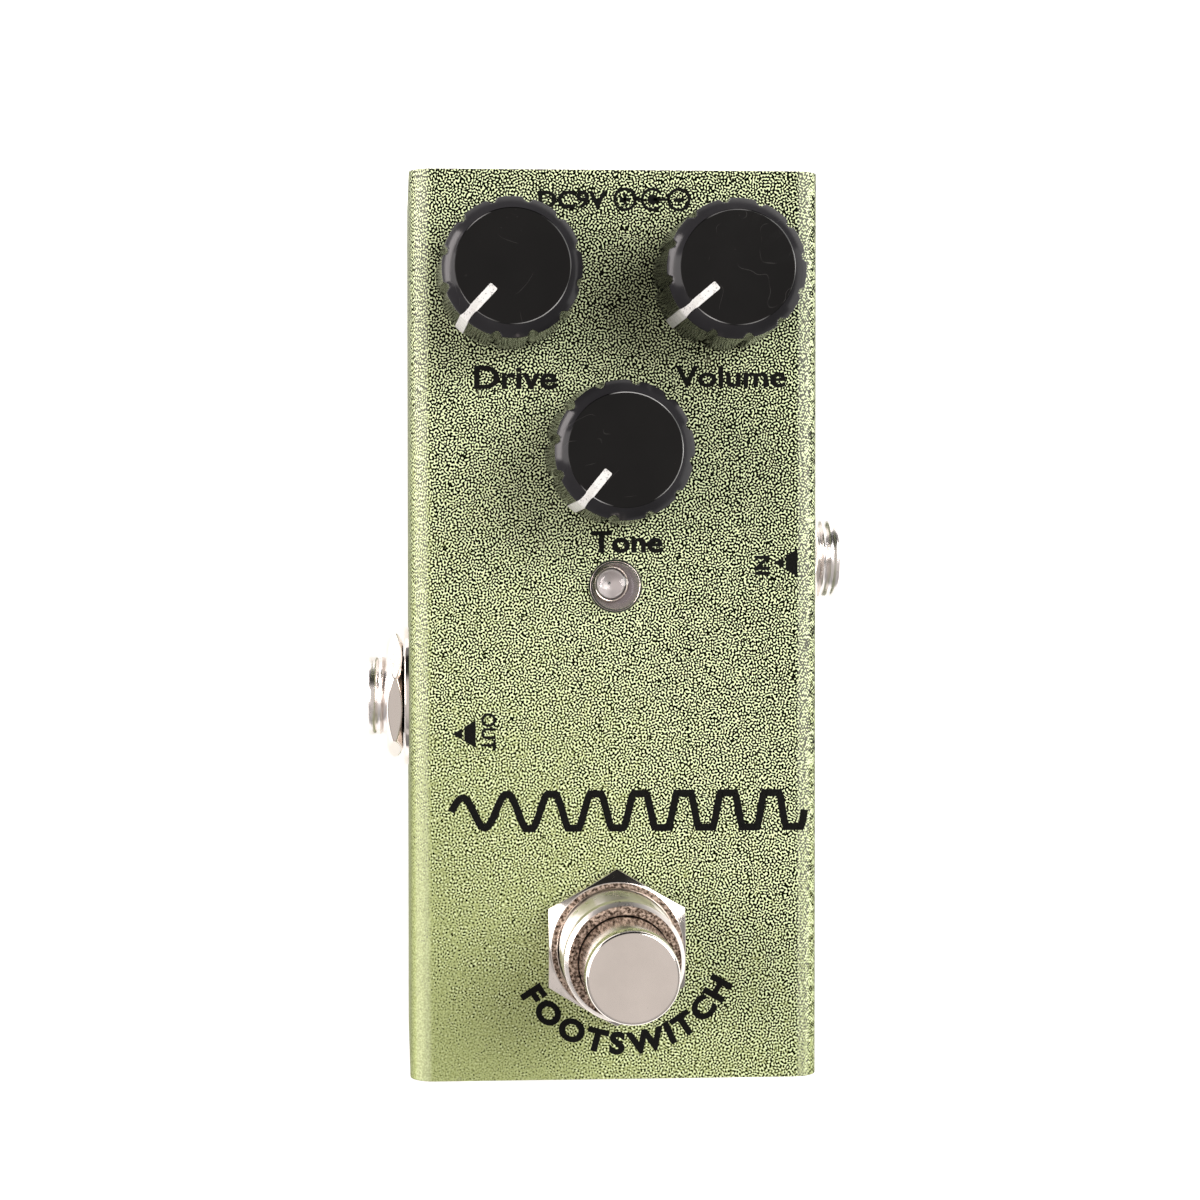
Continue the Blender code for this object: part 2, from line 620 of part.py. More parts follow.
def make_plug_socket(name, side, y, materials):
    """One side socket: housing, bushing, any washer, nut and tip contact. Its own Z points out of the case."""
    place = (0, y, SOCKET_Z)
    turn = (0, side * QUARTER_TURN, 0)
    inner_face = CASE_WIDTH / 2 - SHEET - GAP
    length, width, height = SOCKET_HOUSING
    bushing_flange = 1.5 * MM
    housing_top = inner_face - bushing_flange - GAP
    housing_bottom = inner_face - length
    block = box_mesh(name, (-height / 2, -width / 2, housing_bottom), (height / 2, width / 2, housing_top))
    housing = add_object(f"{name}_socket_housing", block, materials["black_plastic"], place, turn)
    bore = SOCKET_BORE_RADIUS + 0.1 * MM
    drill(housing, f"{name}_socket_bore", bore, housing_bottom + 1.5 * MM, inner_face, place, turn)
    # The contact's slot runs from the bore to the face nearest the board.
    slot_low, slot_high = housing_bottom + 2.5 * MM, housing_bottom + 12.5 * MM
    up = -side
    slot_x = sorted((0.0, up * height))
    slot = box_mesh(name, (slot_x[0], -1.6 * MM, slot_low), (slot_x[1], 1.6 * MM, slot_high))
    boolean(housing, add_object(f"{name}_contact_slot", slot, None, place, turn))
    make_socket_bushing(name, place, turn, inner_face, bushing_flange, materials)
    make_socket_contact(name, up, slot_low, slot_high, place, turn, materials)
    hole = SOCKET_BUSHING_RADIUS + GAP
    nut_low = CASE_WIDTH / 2 + GAP
    if name in SOCKET_WASHERS:
        washer_low, washer_high = nut_low, nut_low + SOCKET_WASHERS[name]
        profile = [
            (hole, washer_high),
            (SOCKET_WASHER_RADIUS, washer_high),
            (SOCKET_WASHER_RADIUS, washer_low),
            (hole, washer_low),
        ]
        washer = turned_mesh(name, profile, ROUND)
        add_object(f"{name}_socket_washer", washer, materials["nickel"], place, turn)
        nut_low = washer_high + GAP
    nut_place = (side * nut_low, y, SOCKET_Z)
    nickel = materials["nickel"]
    flats, thickness = SOCKET_NUT_FLATS, SOCKET_NUT_THICKNESS
    ring = plain_nut(f"{name}_socket_nut", flats, hole, thickness, nickel, nut_place, turn, SOCKET_NUT_TURN)
    turn_down_corners(ring, flats, thickness)


def make_socket_bushing(name, place, turn, inner_face, flange, materials):
    """The threaded sleeve that passes through the case wall, with a flange inside it."""
    edge = 0.35 * MM
    profile = [
        (SOCKET_BORE_RADIUS, SOCKET_REACH),
        (SOCKET_BUSHING_RADIUS - edge, SOCKET_REACH),
        (SOCKET_BUSHING_RADIUS, SOCKET_REACH - edge),
        (SOCKET_BUSHING_RADIUS, inner_face),
        (SOCKET_HOUSING[1] / 2 - 0.5 * MM, inner_face),
        (SOCKET_HOUSING[1] / 2 - 0.5 * MM, inner_face - flange),
        (SOCKET_BORE_RADIUS, inner_face - flange),
    ]
    add_object(f"{name}_socket_bushing", turned_mesh(name, profile, ROUND), materials["nickel"], place, turn)


def make_socket_contact(name, up, slot_low, slot_high, place, turn, materials):
    """A bent leaf beside the bore that touches the plug's tip, with a tail towards the board."""
    thickness = 0.4 * MM
    tail = SOCKET_HOUSING[2] / 2 + 0.1 * MM
    near = SOCKET_BORE_RADIUS + 0.2 * MM
    back = slot_low + GAP
    front = slot_high - GAP
    dip = (back + front) / 2
    centre_line = [(tail, back), (near + 1.4 * MM, back), (near, dip), (near + 1.2 * MM, front)]
    outline = centre_line + [(x + thickness, z + thickness) for x, z in reversed(centre_line)]
    outline = [(up * x, z) for x, z in outline]
    half = 1.2 * MM
    mesh = prism_mesh(name, outline, -half, half)
    # The leaf's outline lies in the socket's own X and Z, so the prism is stood up before the turn.
    for vert in mesh.vertices:
        x, z, across = vert.co
        vert.co = (x, across, z)
    mesh.flip_normals()
    add_object(f"{name}_tip_contact", mesh, materials["contact_brass"], place, turn, smooth=False)


def make_power_socket(materials):
    """The barrel socket: a housing with a round nose in the rear wall, its centre pin and sleeve spring."""
    rear = CASE_LENGTH / 2 - GAP - SHEET - GAP
    nose = CASE_LENGTH / 2 - GAP - 0.1 * MM
    half = POWER_SIZE[0] / 2
    top = BOARD_UNDER_Z - GAP
    block = box_mesh("power", (-half, rear - POWER_SIZE[1], top - POWER_SIZE[2]), (half, rear, top))
    housing = add_object("power_socket_housing", block, materials["black_plastic"])
    place = (0, 0, POWER_Z)
    turn = (-QUARTER_TURN, 0, 0)
    profile = [(0.0, nose), (POWER_NOSE_RADIUS, nose), (POWER_NOSE_RADIUS, rear - MM), (0.0, rear - MM)]
    nose_mesh = turned_mesh("power_nose", profile, ROUND)
    boolean(housing, add_object("power_nose", nose_mesh, None, place, turn), "UNION")
    floor = nose - POWER_BORE_DEPTH
    drill(housing, "power_bore", POWER_BORE_RADIUS, floor, nose + MM, place, turn)
    pin_tip = nose - 0.6 * MM
    pin = [
        (0.0, pin_tip),
        (POWER_PIN_RADIUS - 0.35 * MM, pin_tip),
        (POWER_PIN_RADIUS, pin_tip - 0.5 * MM),
        (POWER_PIN_RADIUS, floor + GAP),
        (0.0, floor + GAP),
    ]
    pin_mesh = turned_mesh("power_pin", pin, ROUND_SMALL)
    add_object("power_socket_pin", pin_mesh, materials["nickel"], place, turn)


# Board and what stands on it


def make_board(materials):
    half = BOARD_WIDTH / 2
    mesh = box_mesh("circuit_board", (-half, BOARD_FRONT, BOARD_UNDER_Z), (half, BOARD_REAR, BOARD_TOP_Z))
    board = add_object("circuit_board", mesh, materials["board"])
    for index, side in enumerate((-1, 1)):
        place = (side * LEAD_SPACING / 2, LAMP_Y, BOARD_TOP_Z)
        radius = LEAD_WIDTH / 2 * math.sqrt(2) + GAP
        drill(board, f"lead_hole_{index}", radius, -3 * MM, MM, place, segments=12)


def make_board_parts(materials):
    """The amplifier chip, three electrolytic capacitors and two film capacitors."""
    foot = BOARD_TOP_Z + GAP
    chip = box_mesh("amplifier_chip", (-12.7 * MM, -15.0 * MM, foot), (-3.3 * MM, -8.6 * MM, foot + 3.4 * MM))
    add_object("amplifier_chip", chip, materials["black_plastic"], smooth=False)
    height = 5.0 * MM
    radius = 2.5 * MM
    edge = 0.35 * MM
    profile = [(0.0, height), (radius - edge, height), (radius, height - edge), (radius, 0.0), (0.0, 0.0)]
    places = ((5.0 * MM, -8.0 * MM), (11.5 * MM, -8.0 * MM), (8.2 * MM, -14.5 * MM))
    for index, (x, y) in enumerate(places, start=1):
        name = f"electrolytic_capacitor_{index}"
        add_object(name, turned_mesh(name, profile, ROUND_SMALL), materials["black_plastic"], (x, y, foot))
    half_x, half_y = 3.6 * MM, 1.3 * MM
    for index, side in enumerate((-1, 1), start=1):
        x, y = side * 11.5 * MM, 3.0 * MM
        low = (x - half_x, y - half_y, foot)
        high = (x + half_x, y + half_y, foot + 4.6 * MM)
        name = f"film_capacitor_{index}"
        add_object(name, box_mesh(name, low, high), materials["film_red"], smooth=False)


def make_switch_ribbon(materials):
    """The flat cable from the board's front edge down to the switch lugs."""
    thickness = 0.9 * MM
    radius = 2.5 * MM
    board_y = BOARD_FRONT + 3.0 * MM
    low = 10.6 * MM
    end_y = SWITCH_Y + LUG_SPACING + 0.8 * MM
    outer = [(board_y + thickness, BOARD_UNDER_Z - GAP)]
    outer += arc((board_y - radius, low + radius + thickness), radius + thickness, 0, -90, 6)
    outer += [(end_y, low)]
    inner = [(end_y, low + thickness)]
    inner += arc((board_y - radius, low + radius + thickness), radius, -90, 0, 6)
    inner += [(board_y, BOARD_UNDER_Z - GAP)]
    half = 4.5 * MM
    mesh = prism_mesh("switch_ribbon", outer + inner, -half, half)
    add_object("switch_ribbon", mesh, materials["rubber"], rotation=(QUARTER_TURN, 0, QUARTER_TURN))


def clear_scene():
    for thing in list(bpy.data.objects):
        bpy.data.objects.remove(thing, do_unlink=True)


def main():
    clear_scene()
    materials = make_materials()
    make_top_cover(materials)
    make_base_tray(materials)
    make_cover_screws(materials)
    make_feet(materials)
    make_board(materials)
    make_board_parts(materials)
    make_switch_ribbon(materials)
    for name, (x, y, pointer) in KNOBS.items():
        make_potentiometer(name, x, y, materials)
        make_shaft(name, x, y, materials)
        make_knob(name, x, y, pointer, materials)
    make_lamp(materials)
    make_footswitch_body(materials)
    make_footswitch_button(materials)
    make_footswitch_spring(materials)
    make_footswitch_base(materials)
    make_footswitch_fasteners(materials)
    for name, (side, y) in SOCKETS.items():
        make_plug_socket(name, side, y, materials)
    make_power_socket(materials)


main()
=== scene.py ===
"""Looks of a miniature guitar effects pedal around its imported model. Metres, +Z up, +Y to the rear."""

import json
import math

import bmesh
import bpy
from mathutils import Euler, Matrix, Vector


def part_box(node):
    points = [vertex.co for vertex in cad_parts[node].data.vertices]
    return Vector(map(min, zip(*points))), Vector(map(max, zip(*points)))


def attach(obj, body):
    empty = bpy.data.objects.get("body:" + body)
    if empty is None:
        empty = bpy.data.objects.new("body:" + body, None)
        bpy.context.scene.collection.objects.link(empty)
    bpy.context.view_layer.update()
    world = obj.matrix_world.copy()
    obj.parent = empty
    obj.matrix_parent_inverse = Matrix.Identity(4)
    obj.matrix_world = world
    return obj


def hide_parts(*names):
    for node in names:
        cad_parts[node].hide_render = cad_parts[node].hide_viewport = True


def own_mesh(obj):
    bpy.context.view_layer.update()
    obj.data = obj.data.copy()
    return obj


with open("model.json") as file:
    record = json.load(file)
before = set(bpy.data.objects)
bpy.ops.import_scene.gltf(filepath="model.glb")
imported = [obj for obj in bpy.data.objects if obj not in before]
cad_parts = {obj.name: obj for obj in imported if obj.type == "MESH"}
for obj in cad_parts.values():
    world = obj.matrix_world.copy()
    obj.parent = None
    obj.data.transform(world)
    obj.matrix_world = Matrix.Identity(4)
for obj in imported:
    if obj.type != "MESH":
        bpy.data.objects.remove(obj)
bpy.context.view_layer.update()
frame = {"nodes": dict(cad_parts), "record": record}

MM = 0.001
QUARTER_TURN = math.pi / 2


# Places, read from the frame


def middle(node):
    low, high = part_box(node)
    return (low + high) / 2


COVER_LOW, COVER_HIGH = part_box("top_cover")
PANEL_Z = COVER_HIGH.z
KNOB_NAMES = ("drive", "volume", "tone")
POINTER_ANGLES = {"drive": 227.0, "volume": 220.0, "tone": 231.0}
KNOB_PLACES = {name: middle(f"{name}_shaft") for name in KNOB_NAMES}
SWITCH = middle("footswitch_button")
SWITCH_RADIUS = 4.6 * MM
SWITCH_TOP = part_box("footswitch_button")[1].z
BUSHING_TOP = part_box("footswitch_body")[1].z
LAMP = middle("lamp_lens")
LAMP_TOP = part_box("lamp_lens")[1].z
SOCKETS = {"output": -1, "input": 1}
SOCKET_PLACES = {name: middle(f"{name}_socket_bushing") for name in SOCKETS}

# Sizes that the fine pieces share
SHEET = 1.5 * MM
BEND_RADIUS = 2.5 * MM
KNOB_FOOT_RADIUS = 7.3 * MM
KNOB_RIM_RADIUS = 6.9 * MM
KNOB_TOP_RADIUS = 5.65 * MM
KNOB_LIFT = 0.8 * MM
KNOB_TOP = 11.5 * MM
KNOB_BEVEL = 1.1 * MM
KNOB_FLUTES = 12
KNOB_BULGE = 0.04 * MM
BEVEL_LEAN = 41.3
FLUTE_DEPTH = 0.45 * MM
FLUTE_HALF_ANGLE = 4.6
SHAFT_HOLE = 3.8 * MM
LAMP_HOLE = 2.72 * MM
SWITCH_HOLE = 6.3 * MM
SOCKET_HOLE = 4.55 * MM
SOCKET_NUT_THICKNESS = 1.8 * MM
SOCKET_NUT_TURN = -11.3


# Mesh helpers


def rounded(points, steps=4):
    """An open outline of (x, y, radius) with each inner corner rounded by an arc of its radius."""
    result = []
    for index, (x, y, radius) in enumerate(points):
        if radius == 0 or index in (0, len(points) - 1):
            result.append((x, y))
            continue
        corner = Vector((x, y))
        before = (Vector(points[index - 1][:2]) - corner).normalized()
        after = (Vector(points[index + 1][:2]) - corner).normalized()
        half = before.angle(after) / 2
        centre = corner + (before + after).normalized() * radius / math.sin(half)
        start = corner + before * radius / math.tan(half) - centre
        end = corner + after * radius / math.tan(half) - centre
        first = math.atan2(start.y, start.x)
        turn = math.atan2(end.y, end.x) - first
        turn = (turn + math.pi) % math.tau - math.pi
        for step in range(steps + 1):
            angle = first + turn * step / steps
            result.append((centre.x + radius * math.cos(angle), centre.y + radius * math.sin(angle)))
    return result


def skin(rings, closed=False):
    """A mesh over equal rings of points; the ends are capped, or joined to each other when closed."""
    bm = bmesh.new()
    loops = [[bm.verts.new(point) for point in ring] for ring in rings]
    pairs = list(zip(loops, loops[1:]))
    if closed:
        pairs.append((loops[-1], loops[0]))
    for upper, lower in pairs:
        for index in range(len(upper)):
            after = (index + 1) % len(upper)
            bm.faces.new((upper[index], lower[index], lower[after], upper[after]))
    if not closed:
        bm.faces.new(loops[0])
        bm.faces.new(reversed(loops[-1]))
    bmesh.ops.recalc_face_normals(bm, faces=bm.faces)
    return bm


def circle(radius, height, segments):
    step = math.tau / segments
    return [(radius * math.cos(i * step), radius * math.sin(i * step), height) for i in range(segments)]


def lathe(profile, segments=96, closed=False):
    """A turned solid from its outline in radius and height; the end points close with flat caps."""
    return skin([circle(radius, height, segments) for radius, height in profile], closed)


def piece(name, bm, material, body, place=(0, 0, 0), turn=(0, 0, 0), replaces=(), sharp=32):
    """Adds a fine piece, shaded smooth with weighted normals, riding on a body."""
    mesh = bpy.data.meshes.new(name)
    bm.to_mesh(mesh)
    bm.free()
    mesh.materials.append(material)
    thing = bpy.data.objects.new(name, mesh)
    thing.location = place
    thing.rotation_euler = turn
    bpy.context.scene.collection.objects.link(thing)
    soften(thing, sharp)
    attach(thing, body)
    if replaces:
        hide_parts(*replaces)
    return thing


def soften(thing, sharp=32):
    """Smooth shading with hard edges above an angle."""
    thing.data.shade_smooth()
    thing.data.set_sharp_from_angle(angle=math.radians(sharp))
    weighted = thing.modifiers.new("weighted_normals", "WEIGHTED_NORMAL")
    weighted.keep_sharp = True


def bevel_edges(thing, width, segments=2, angle=30):
    """Breaks hard edges with a small bevel, ahead of the normals."""
    bevel = thing.modifiers.new("broken_edges", "BEVEL")
    bevel.width = width
    bevel.segments = segments
    bevel.limit_method = "ANGLE"
    bevel.angle_limit = math.radians(angle)
    thing.modifiers.move(len(thing.modifiers) - 1, 0)


# Materials


class Tree:
    """Short calls for building a node tree."""

    def __init__(self, tree):
        self.tree = tree

    def add(self, kind, inputs=None, **settings):
        node = self.tree.nodes.new(kind)
        for key, value in settings.items():
            setattr(node, key, value)
        for key, value in (inputs or {}).items():
            self.put(node.inputs[key], value)
        return node

    def put(self, socket, value):
        if isinstance(value, bpy.types.NodeSocket):
            self.tree.links.new(value, socket)
        else:
            socket.default_value = value

    def axes(self, vector):
        """The x, y and z of a vector."""
        return self.add("ShaderNodeSeparateXYZ", {"Vector": vector}).outputs

    def ramp(self, value, stops):
        """A colour ramp; each stop is a position and a grey value or a colour."""
        node = self.add("ShaderNodeValToRGB", {"Fac": value})
        ramp = node.color_ramp
        while len(ramp.elements) < len(stops):
            ramp.elements.new(0.5)
        for element, (position, colour) in zip(ramp.elements, stops):
            element.position = position
            grey = isinstance(colour, (int, float))
            element.color = (colour, colour, colour, 1.0) if grey else (*colour, 1.0)
        return node.outputs["Color"]

    def separate(self, colour):
        """The red channel of a grey colour, as a value."""
        return self.add("ShaderNodeSeparateColor", {"Color": colour}).outputs["Red"]

    def fit(self, value, low, high, new_low, new_high):
        inputs = {"Value": value, "From Min": low, "From Max": high, "To Min": new_low, "To Max": new_high}
        return self.add("ShaderNodeMapRange", inputs).outputs["Result"]

    def math(self, operation, first, second=0.0):
        node = self.add("ShaderNodeMath", operation=operation)
        self.put(node.inputs[0], first)
        self.put(node.inputs[1], second)
        return node.outputs["Value"]

    def product(self, first, *others):
        for other in others:
            first = self.math("MULTIPLY", first, other)
        return first

    def vectors(self, operation, first, second, output="Vector"):
        node = self.add("ShaderNodeVectorMath", operation=operation)
        self.put(node.inputs[0], first)
        self.put(node.inputs["Scale" if operation == "SCALE" else 1], second)
        return node.outputs[output]


class Nodes(Tree):
    """Short calls for building a material's node tree."""

    def __init__(self, name):
        self.material = bpy.data.materials.new(name)
        self.material.use_nodes = True
        super().__init__(self.material.node_tree)
        self.shader = self.tree.nodes["Principled BSDF"]
        self.place = self.add("ShaderNodeTexCoord").outputs["Object"]

    def set(self, **values):
        """Sets or links the shader's sockets; underscores stand for spaces."""
        for key, value in values.items():
            self.put(self.shader.inputs[key.replace("_", " ")], value)

    def noise(self, scale, detail=3.0, roughness=0.55, vector=None):
        inputs = {"Scale": scale, "Detail": detail, "Roughness": roughness, "Vector": vector or self.place}
        return self.add("ShaderNodeTexNoise", inputs).outputs["Fac"]

    def cells(self, scale, output="Color", feature="F1"):
        inputs = {"Scale": scale, "Vector": self.place}
        return self.add("ShaderNodeTexVoronoi", inputs, feature=feature).outputs[output]

    def stretched(self, share, turn=0.0):
        """Object coordinates turned and scaled along one way, for brushed lines and scratches."""
        inputs = {"Vector": self.place, "Scale": (1.0, share, 1.0), "Rotation": (0.0, 0.0, turn)}
        return self.add("ShaderNodeMapping", inputs).outputs["Vector"]

    def mix(self, factor, first, second, blend="MIX"):
        node = self.add("ShaderNodeMix", data_type="RGBA", blend_type=blend)
        self.put(node.inputs["Factor"], factor)
        for socket, value in ((node.inputs[6], first), (node.inputs[7], second)):
            self.put(socket, (*value, 1.0) if isinstance(value, tuple) and len(value) == 3 else value)
        return node.outputs[2]

    def bump(self, height, strength, distance):
        inputs = {"Height": height, "Strength": strength, "Distance": distance}
        return self.add("ShaderNodeBump", inputs).outputs["Normal"]

    def ripples(self, wavelength, drift_scale, drift):
        """Crossing waves of one length whose phases drift apart: an even grain, around 0."""
        total = 0.0
        waves = 6
        for index in range(waves):
            angle = math.pi * (index + 0.3) / waves
            way = (math.cos(angle), math.sin(angle), 0.8 * (-1) ** index)
            along = self.vectors("DOT_PRODUCT", self.place, way, "Value")
            phase = self.product(along, math.tau / wavelength)
            inputs = {"Vector": self.place, "W": 3.7 * index, "Scale": drift_scale, "Detail": 0.0}
            slow = self.add("ShaderNodeTexNoise", inputs, noise_dimensions="4D").outputs["Fac"]
            phase = self.math("ADD", phase, self.product(slow, drift))
            total = self.math("ADD", total, self.math("SINE", phase))
        return self.product(total, 1 / math.sqrt(waves / 2))

    def ring(self, inner, outer, above):
        """1 between two radii round the object's own Z, above a height; 0 elsewhere."""
        x, y, z = self.axes(self.place)
        radius = self.math("SQRT", self.math("ADD", self.product(x, x), self.product(y, y)))
        past_inner = self.math("GREATER_THAN", radius, inner)
        within_outer = self.math("LESS_THAN", radius, outer)
        return self.product(past_inner, within_outer, self.math("GREATER_THAN", z, above))

    def scratches(self, scale, turn):
        """Thin broken lines along one direction: 1 on a scratch, 0 elsewhere."""
        lines = self.noise(scale, 2.0, 0.5, self.stretched(0.035, turn))
        width = 0.012
        thin = self.ramp(lines, [(0.5 - width, 0.0), (0.5, 1.0), (0.5 + width, 0.0)])
        gaps = self.ramp(self.noise(scale * 0.5, 1.0), [(0.5, 0.0), (0.62, 1.0)])
        return self.product(thin, gaps)


# How strongly the paint's grains stand out, from the front left corner to the rear right one; the rise
# towards the key light's side is a painted glint
GRAIN_GAIN = [(0.03, 0.04), (0.12, 0.08), (0.29, 0.21), (0.46, 0.45), (0.73, 0.85), (0.97, 1.0)]
GRAIN_WAVE = 0.32 * MM
GAIN_LIMIT = 3.6


def flake_paint():
    """Olive green flake paint with black and pale grains; the bends and walls carry painted shade and a
    painted sheen.
    """
    n = Nodes("flake_paint")
    x, y, _ = n.axes(n.place)
    upright = n.axes(n.add("ShaderNodeNewGeometry").outputs["Normal"])["Z"]
    along = n.product(n.math("ADD", x, y), 8.0)
    drift = n.math("ADD", along, n.fit(n.noise(40.0, 2.0), 0.3, 0.7, -0.06, 0.06))
    patches = n.fit(n.noise(650.0, 1.0), 0.34, 0.66, 2.4, 3.9)
    # Painted glint: the grains' contrast grows towards the rear right, where the key light stands.
    gain = n.product(n.separate(n.ramp(n.math("ADD", drift, 0.5), GRAIN_GAIN)), patches)
    gain = n.product(gain, n.fit(upright, 0.985, 0.998, 0.5, 1.0))
    gain = n.math("MINIMUM", gain, GAIN_LIMIT)
    grain = n.product(n.ripples(GRAIN_WAVE, 1000.0, 16.0), gain)
    bias = n.fit(gain, 0.6, 3.0, 0.0, 1.5)
    dark = n.ramp(n.math("SUBTRACT", bias, grain), [(0.07, 0.0), (0.40, 1.0)])
    pale = n.ramp(grain, [(0.18, 0.0), (0.60, 1.0)])
    fleck = n.noise(5200.0, 0.0)
    greens = [(0.3, (0.31, 0.35, 0.135)), (0.5, (0.415, 0.475, 0.20)), (0.7, (0.53, 0.595, 0.28))]
    colour = n.mix(pale, n.ramp(fleck, greens), (0.90, 1.0, 0.62))
    colour = n.mix(dark, colour, (0.002, 0.003, 0.0))
    # Painted sheen: a pale tone mixed into the base colour of bends and walls over a band of view angles.
    facing = n.add("ShaderNodeLayerWeight", {"Blend": 0.5}).outputs["Facing"]
    painted_sheen = n.separate(n.ramp(facing, [(0.015, 0.0), (0.05, 0.19), (0.3, 0.17), (0.42, 0.0)]))
    bend = n.fit(upright, 0.999, 0.985, 0.0, 1.0)
    colour = n.mix(n.product(painted_sheen, bend), colour, (0.86, 0.88, 0.74))
    # Darker worn patches at random.
    overlay = n.ramp(n.noise(900.0, 3.0), [(0.66, 0.0), (0.74, 0.35)])
    colour = n.mix(overlay, colour, (0.30, 0.31, 0.20))
    # Painted shade: bends and walls darker than the flat top, by how far the surface turns from upright.
    steep = n.fit(upright, 0.98, 0.86, 0.0, 1.0)
    painted_wall_shade = [(0.0, 0.42), (0.25, 0.45), (0.42, 0.62), (0.62, 0.96), (0.85, 1.0), (0.95, 0.9)]
    tone = n.mix(steep, (0.84, 0.84, 0.84), n.ramp(upright, painted_wall_shade))
    n.set(
        Base_Color=n.mix(1.0, colour, tone, "MULTIPLY"),
        Metallic=0.0,
        Roughness=n.fit(fleck, 0.25, 0.75, 0.62, 0.42),
        Specular_IOR_Level=0.03,
        Normal=n.bump(fleck, 0.25, 0.02 * MM),
    )
    return n.material


def nickel(name="nickel", roughness=0.09, scale=1.0, warmth=(0.86, 0.80, 0.75), brown_ring=None):
    """Bright nickel plate with fine handling scratches, faint pits and cloudy tarnish.

    A brown ring is an inner and an outer radius and a height above which the plate is rough and painted
    brown.
    """
    n = Nodes(name)
    cloud = n.noise(240.0 * scale, 4.0)
    stain = n.ramp(cloud, [(0.35, tuple(0.93 * v for v in warmth)), (0.65, warmth)])
    marks = n.math("MAXIMUM", n.scratches(1500.0 * scale, 0.4), n.scratches(1900.0 * scale, 2.1))
    pits = n.ramp(n.cells(1400.0 * scale, "Distance"), [(0.02, 1.0), (0.06, 0.0)])
    pits = n.product(pits, n.ramp(n.noise(300.0), [(0.6, 0.0), (0.66, 1.0)]))
    rough = n.fit(cloud, 0.3, 0.7, roughness * 0.8, roughness * 1.5)
    rough = n.math("ADD", rough, n.product(marks, 0.12))
    height = n.math("SUBTRACT", n.product(marks, -0.5), pits)
    colour = n.mix(pits, stain, (0.25, 0.2, 0.17))
    # Within the ring the plate is rougher and painted brown with dark and pale speckles.
    if brown_ring:
        ring = n.ring(*brown_ring)
        speckle = n.noise(3600.0, 2.0)
        browns = [(0.34, (0.03, 0.02, 0.015)), (0.48, (0.22, 0.16, 0.125)), (0.64, (0.62, 0.50, 0.41))]
        colour = n.mix(ring, colour, n.ramp(speckle, browns))
        rough = n.math("ADD", rough, n.product(ring, 0.38))
        height = n.math("ADD", height, n.product(ring, speckle))
    n.set(
        Base_Color=colour,
        Metallic=1.0,
        Roughness=rough,
        Normal=n.bump(height, 0.12, 0.01 * MM),
    )
    return n.material


def knob_plastic():
    """Glossy black moulding with faint scratches and dust, different on each knob; a painted reflection
    greys the bevel and a painted highlight lightens the flat's edge.
    """
    n = Nodes("knob_plastic")
    # Masks for the painted reflection on the bevel and the painted highlight on the flat top's edge.
    rim = n.ring(KNOB_TOP_RADIUS + 0.04 * MM, KNOB_FOOT_RADIUS, KNOB_TOP - KNOB_BEVEL - 0.05 * MM)
    edge = n.ring(KNOB_TOP_RADIUS - 0.09 * MM, KNOB_TOP_RADIUS, KNOB_TOP - 0.15 * MM)
    n.place = n.vectors("ADD", n.place, n.add("ShaderNodeObjectInfo").outputs["Location"])
    grain = n.noise(4200.0, 3.0)
    curls = n.ramp(n.noise(190.0, 1.5), [(0.4965, 0.0), (0.5, 1.0), (0.5035, 0.0)])
    marks = n.product(n.separate(curls), n.fit(n.noise(420.0, 1.0), 0.50, 0.60, 0.0, 1.0))
    cloud = n.noise(140.0, 3.0)
    dust = n.ramp(n.cells(1500.0, "Distance"), [(0.03, 1.0), (0.09, 0.0)])
    dust = n.product(dust, n.ramp(cloud, [(0.56, 0.0), (0.68, 0.5)]))
    black = n.ramp(cloud, [(0.3, (0.0014, 0.0014, 0.0015)), (0.7, (0.0030, 0.0029, 0.0029))])
    overlay = n.mix(n.product(marks, 0.45), black, (0.05, 0.047, 0.045))
    # Painted highlight: pale patches on the ring at the flat top's edge.
    painted_edge_highlight = n.product(edge, n.fit(n.noise(150.0, 1.0), 0.55, 0.68, 0.0, 0.6))
    overlay = n.mix(painted_edge_highlight, overlay, (0.55, 0.55, 0.55))
    # Painted reflection: the bevel greyer than the flat top.
    overlay = n.mix(rim, overlay, n.ramp(cloud, [(0.3, (0.014, 0.0135, 0.015)), (0.7, (0.024, 0.023, 0.0255))]))
    n.set(
        Base_Color=n.mix(dust, overlay, (0.06, 0.057, 0.055)),
        Roughness=n.math("ADD", n.fit(cloud, 0.3, 0.7, 0.11, 0.17), n.product(marks, 0.2)),
        Specular_IOR_Level=0.25,
        Normal=n.bump(n.math("SUBTRACT", grain, marks), 0.04, 0.015 * MM),
    )
    return n.material


def white_fill():
    """The pointer's white filling: slightly uneven, with faint grime."""
    n = Nodes("pointer_white")
    grime = n.noise(1500.0, 4.0)
    specks = n.ramp(n.noise(5600.0, 1.0), [(0.60, 0.0), (0.70, 1.0)])
    filling = n.ramp(grime, [(0.3, (0.60, 0.59, 0.57)), (0.55, (0.76, 0.755, 0.74))])
    n.set(
        Base_Color=n.mix(n.product(specks, 0.8), filling, (0.30, 0.30, 0.30)),
        Roughness=n.fit(grime, 0.3, 0.7, 0.5, 0.34),
        Normal=n.bump(grime, 0.15, 0.03 * MM),
    )
    return n.material


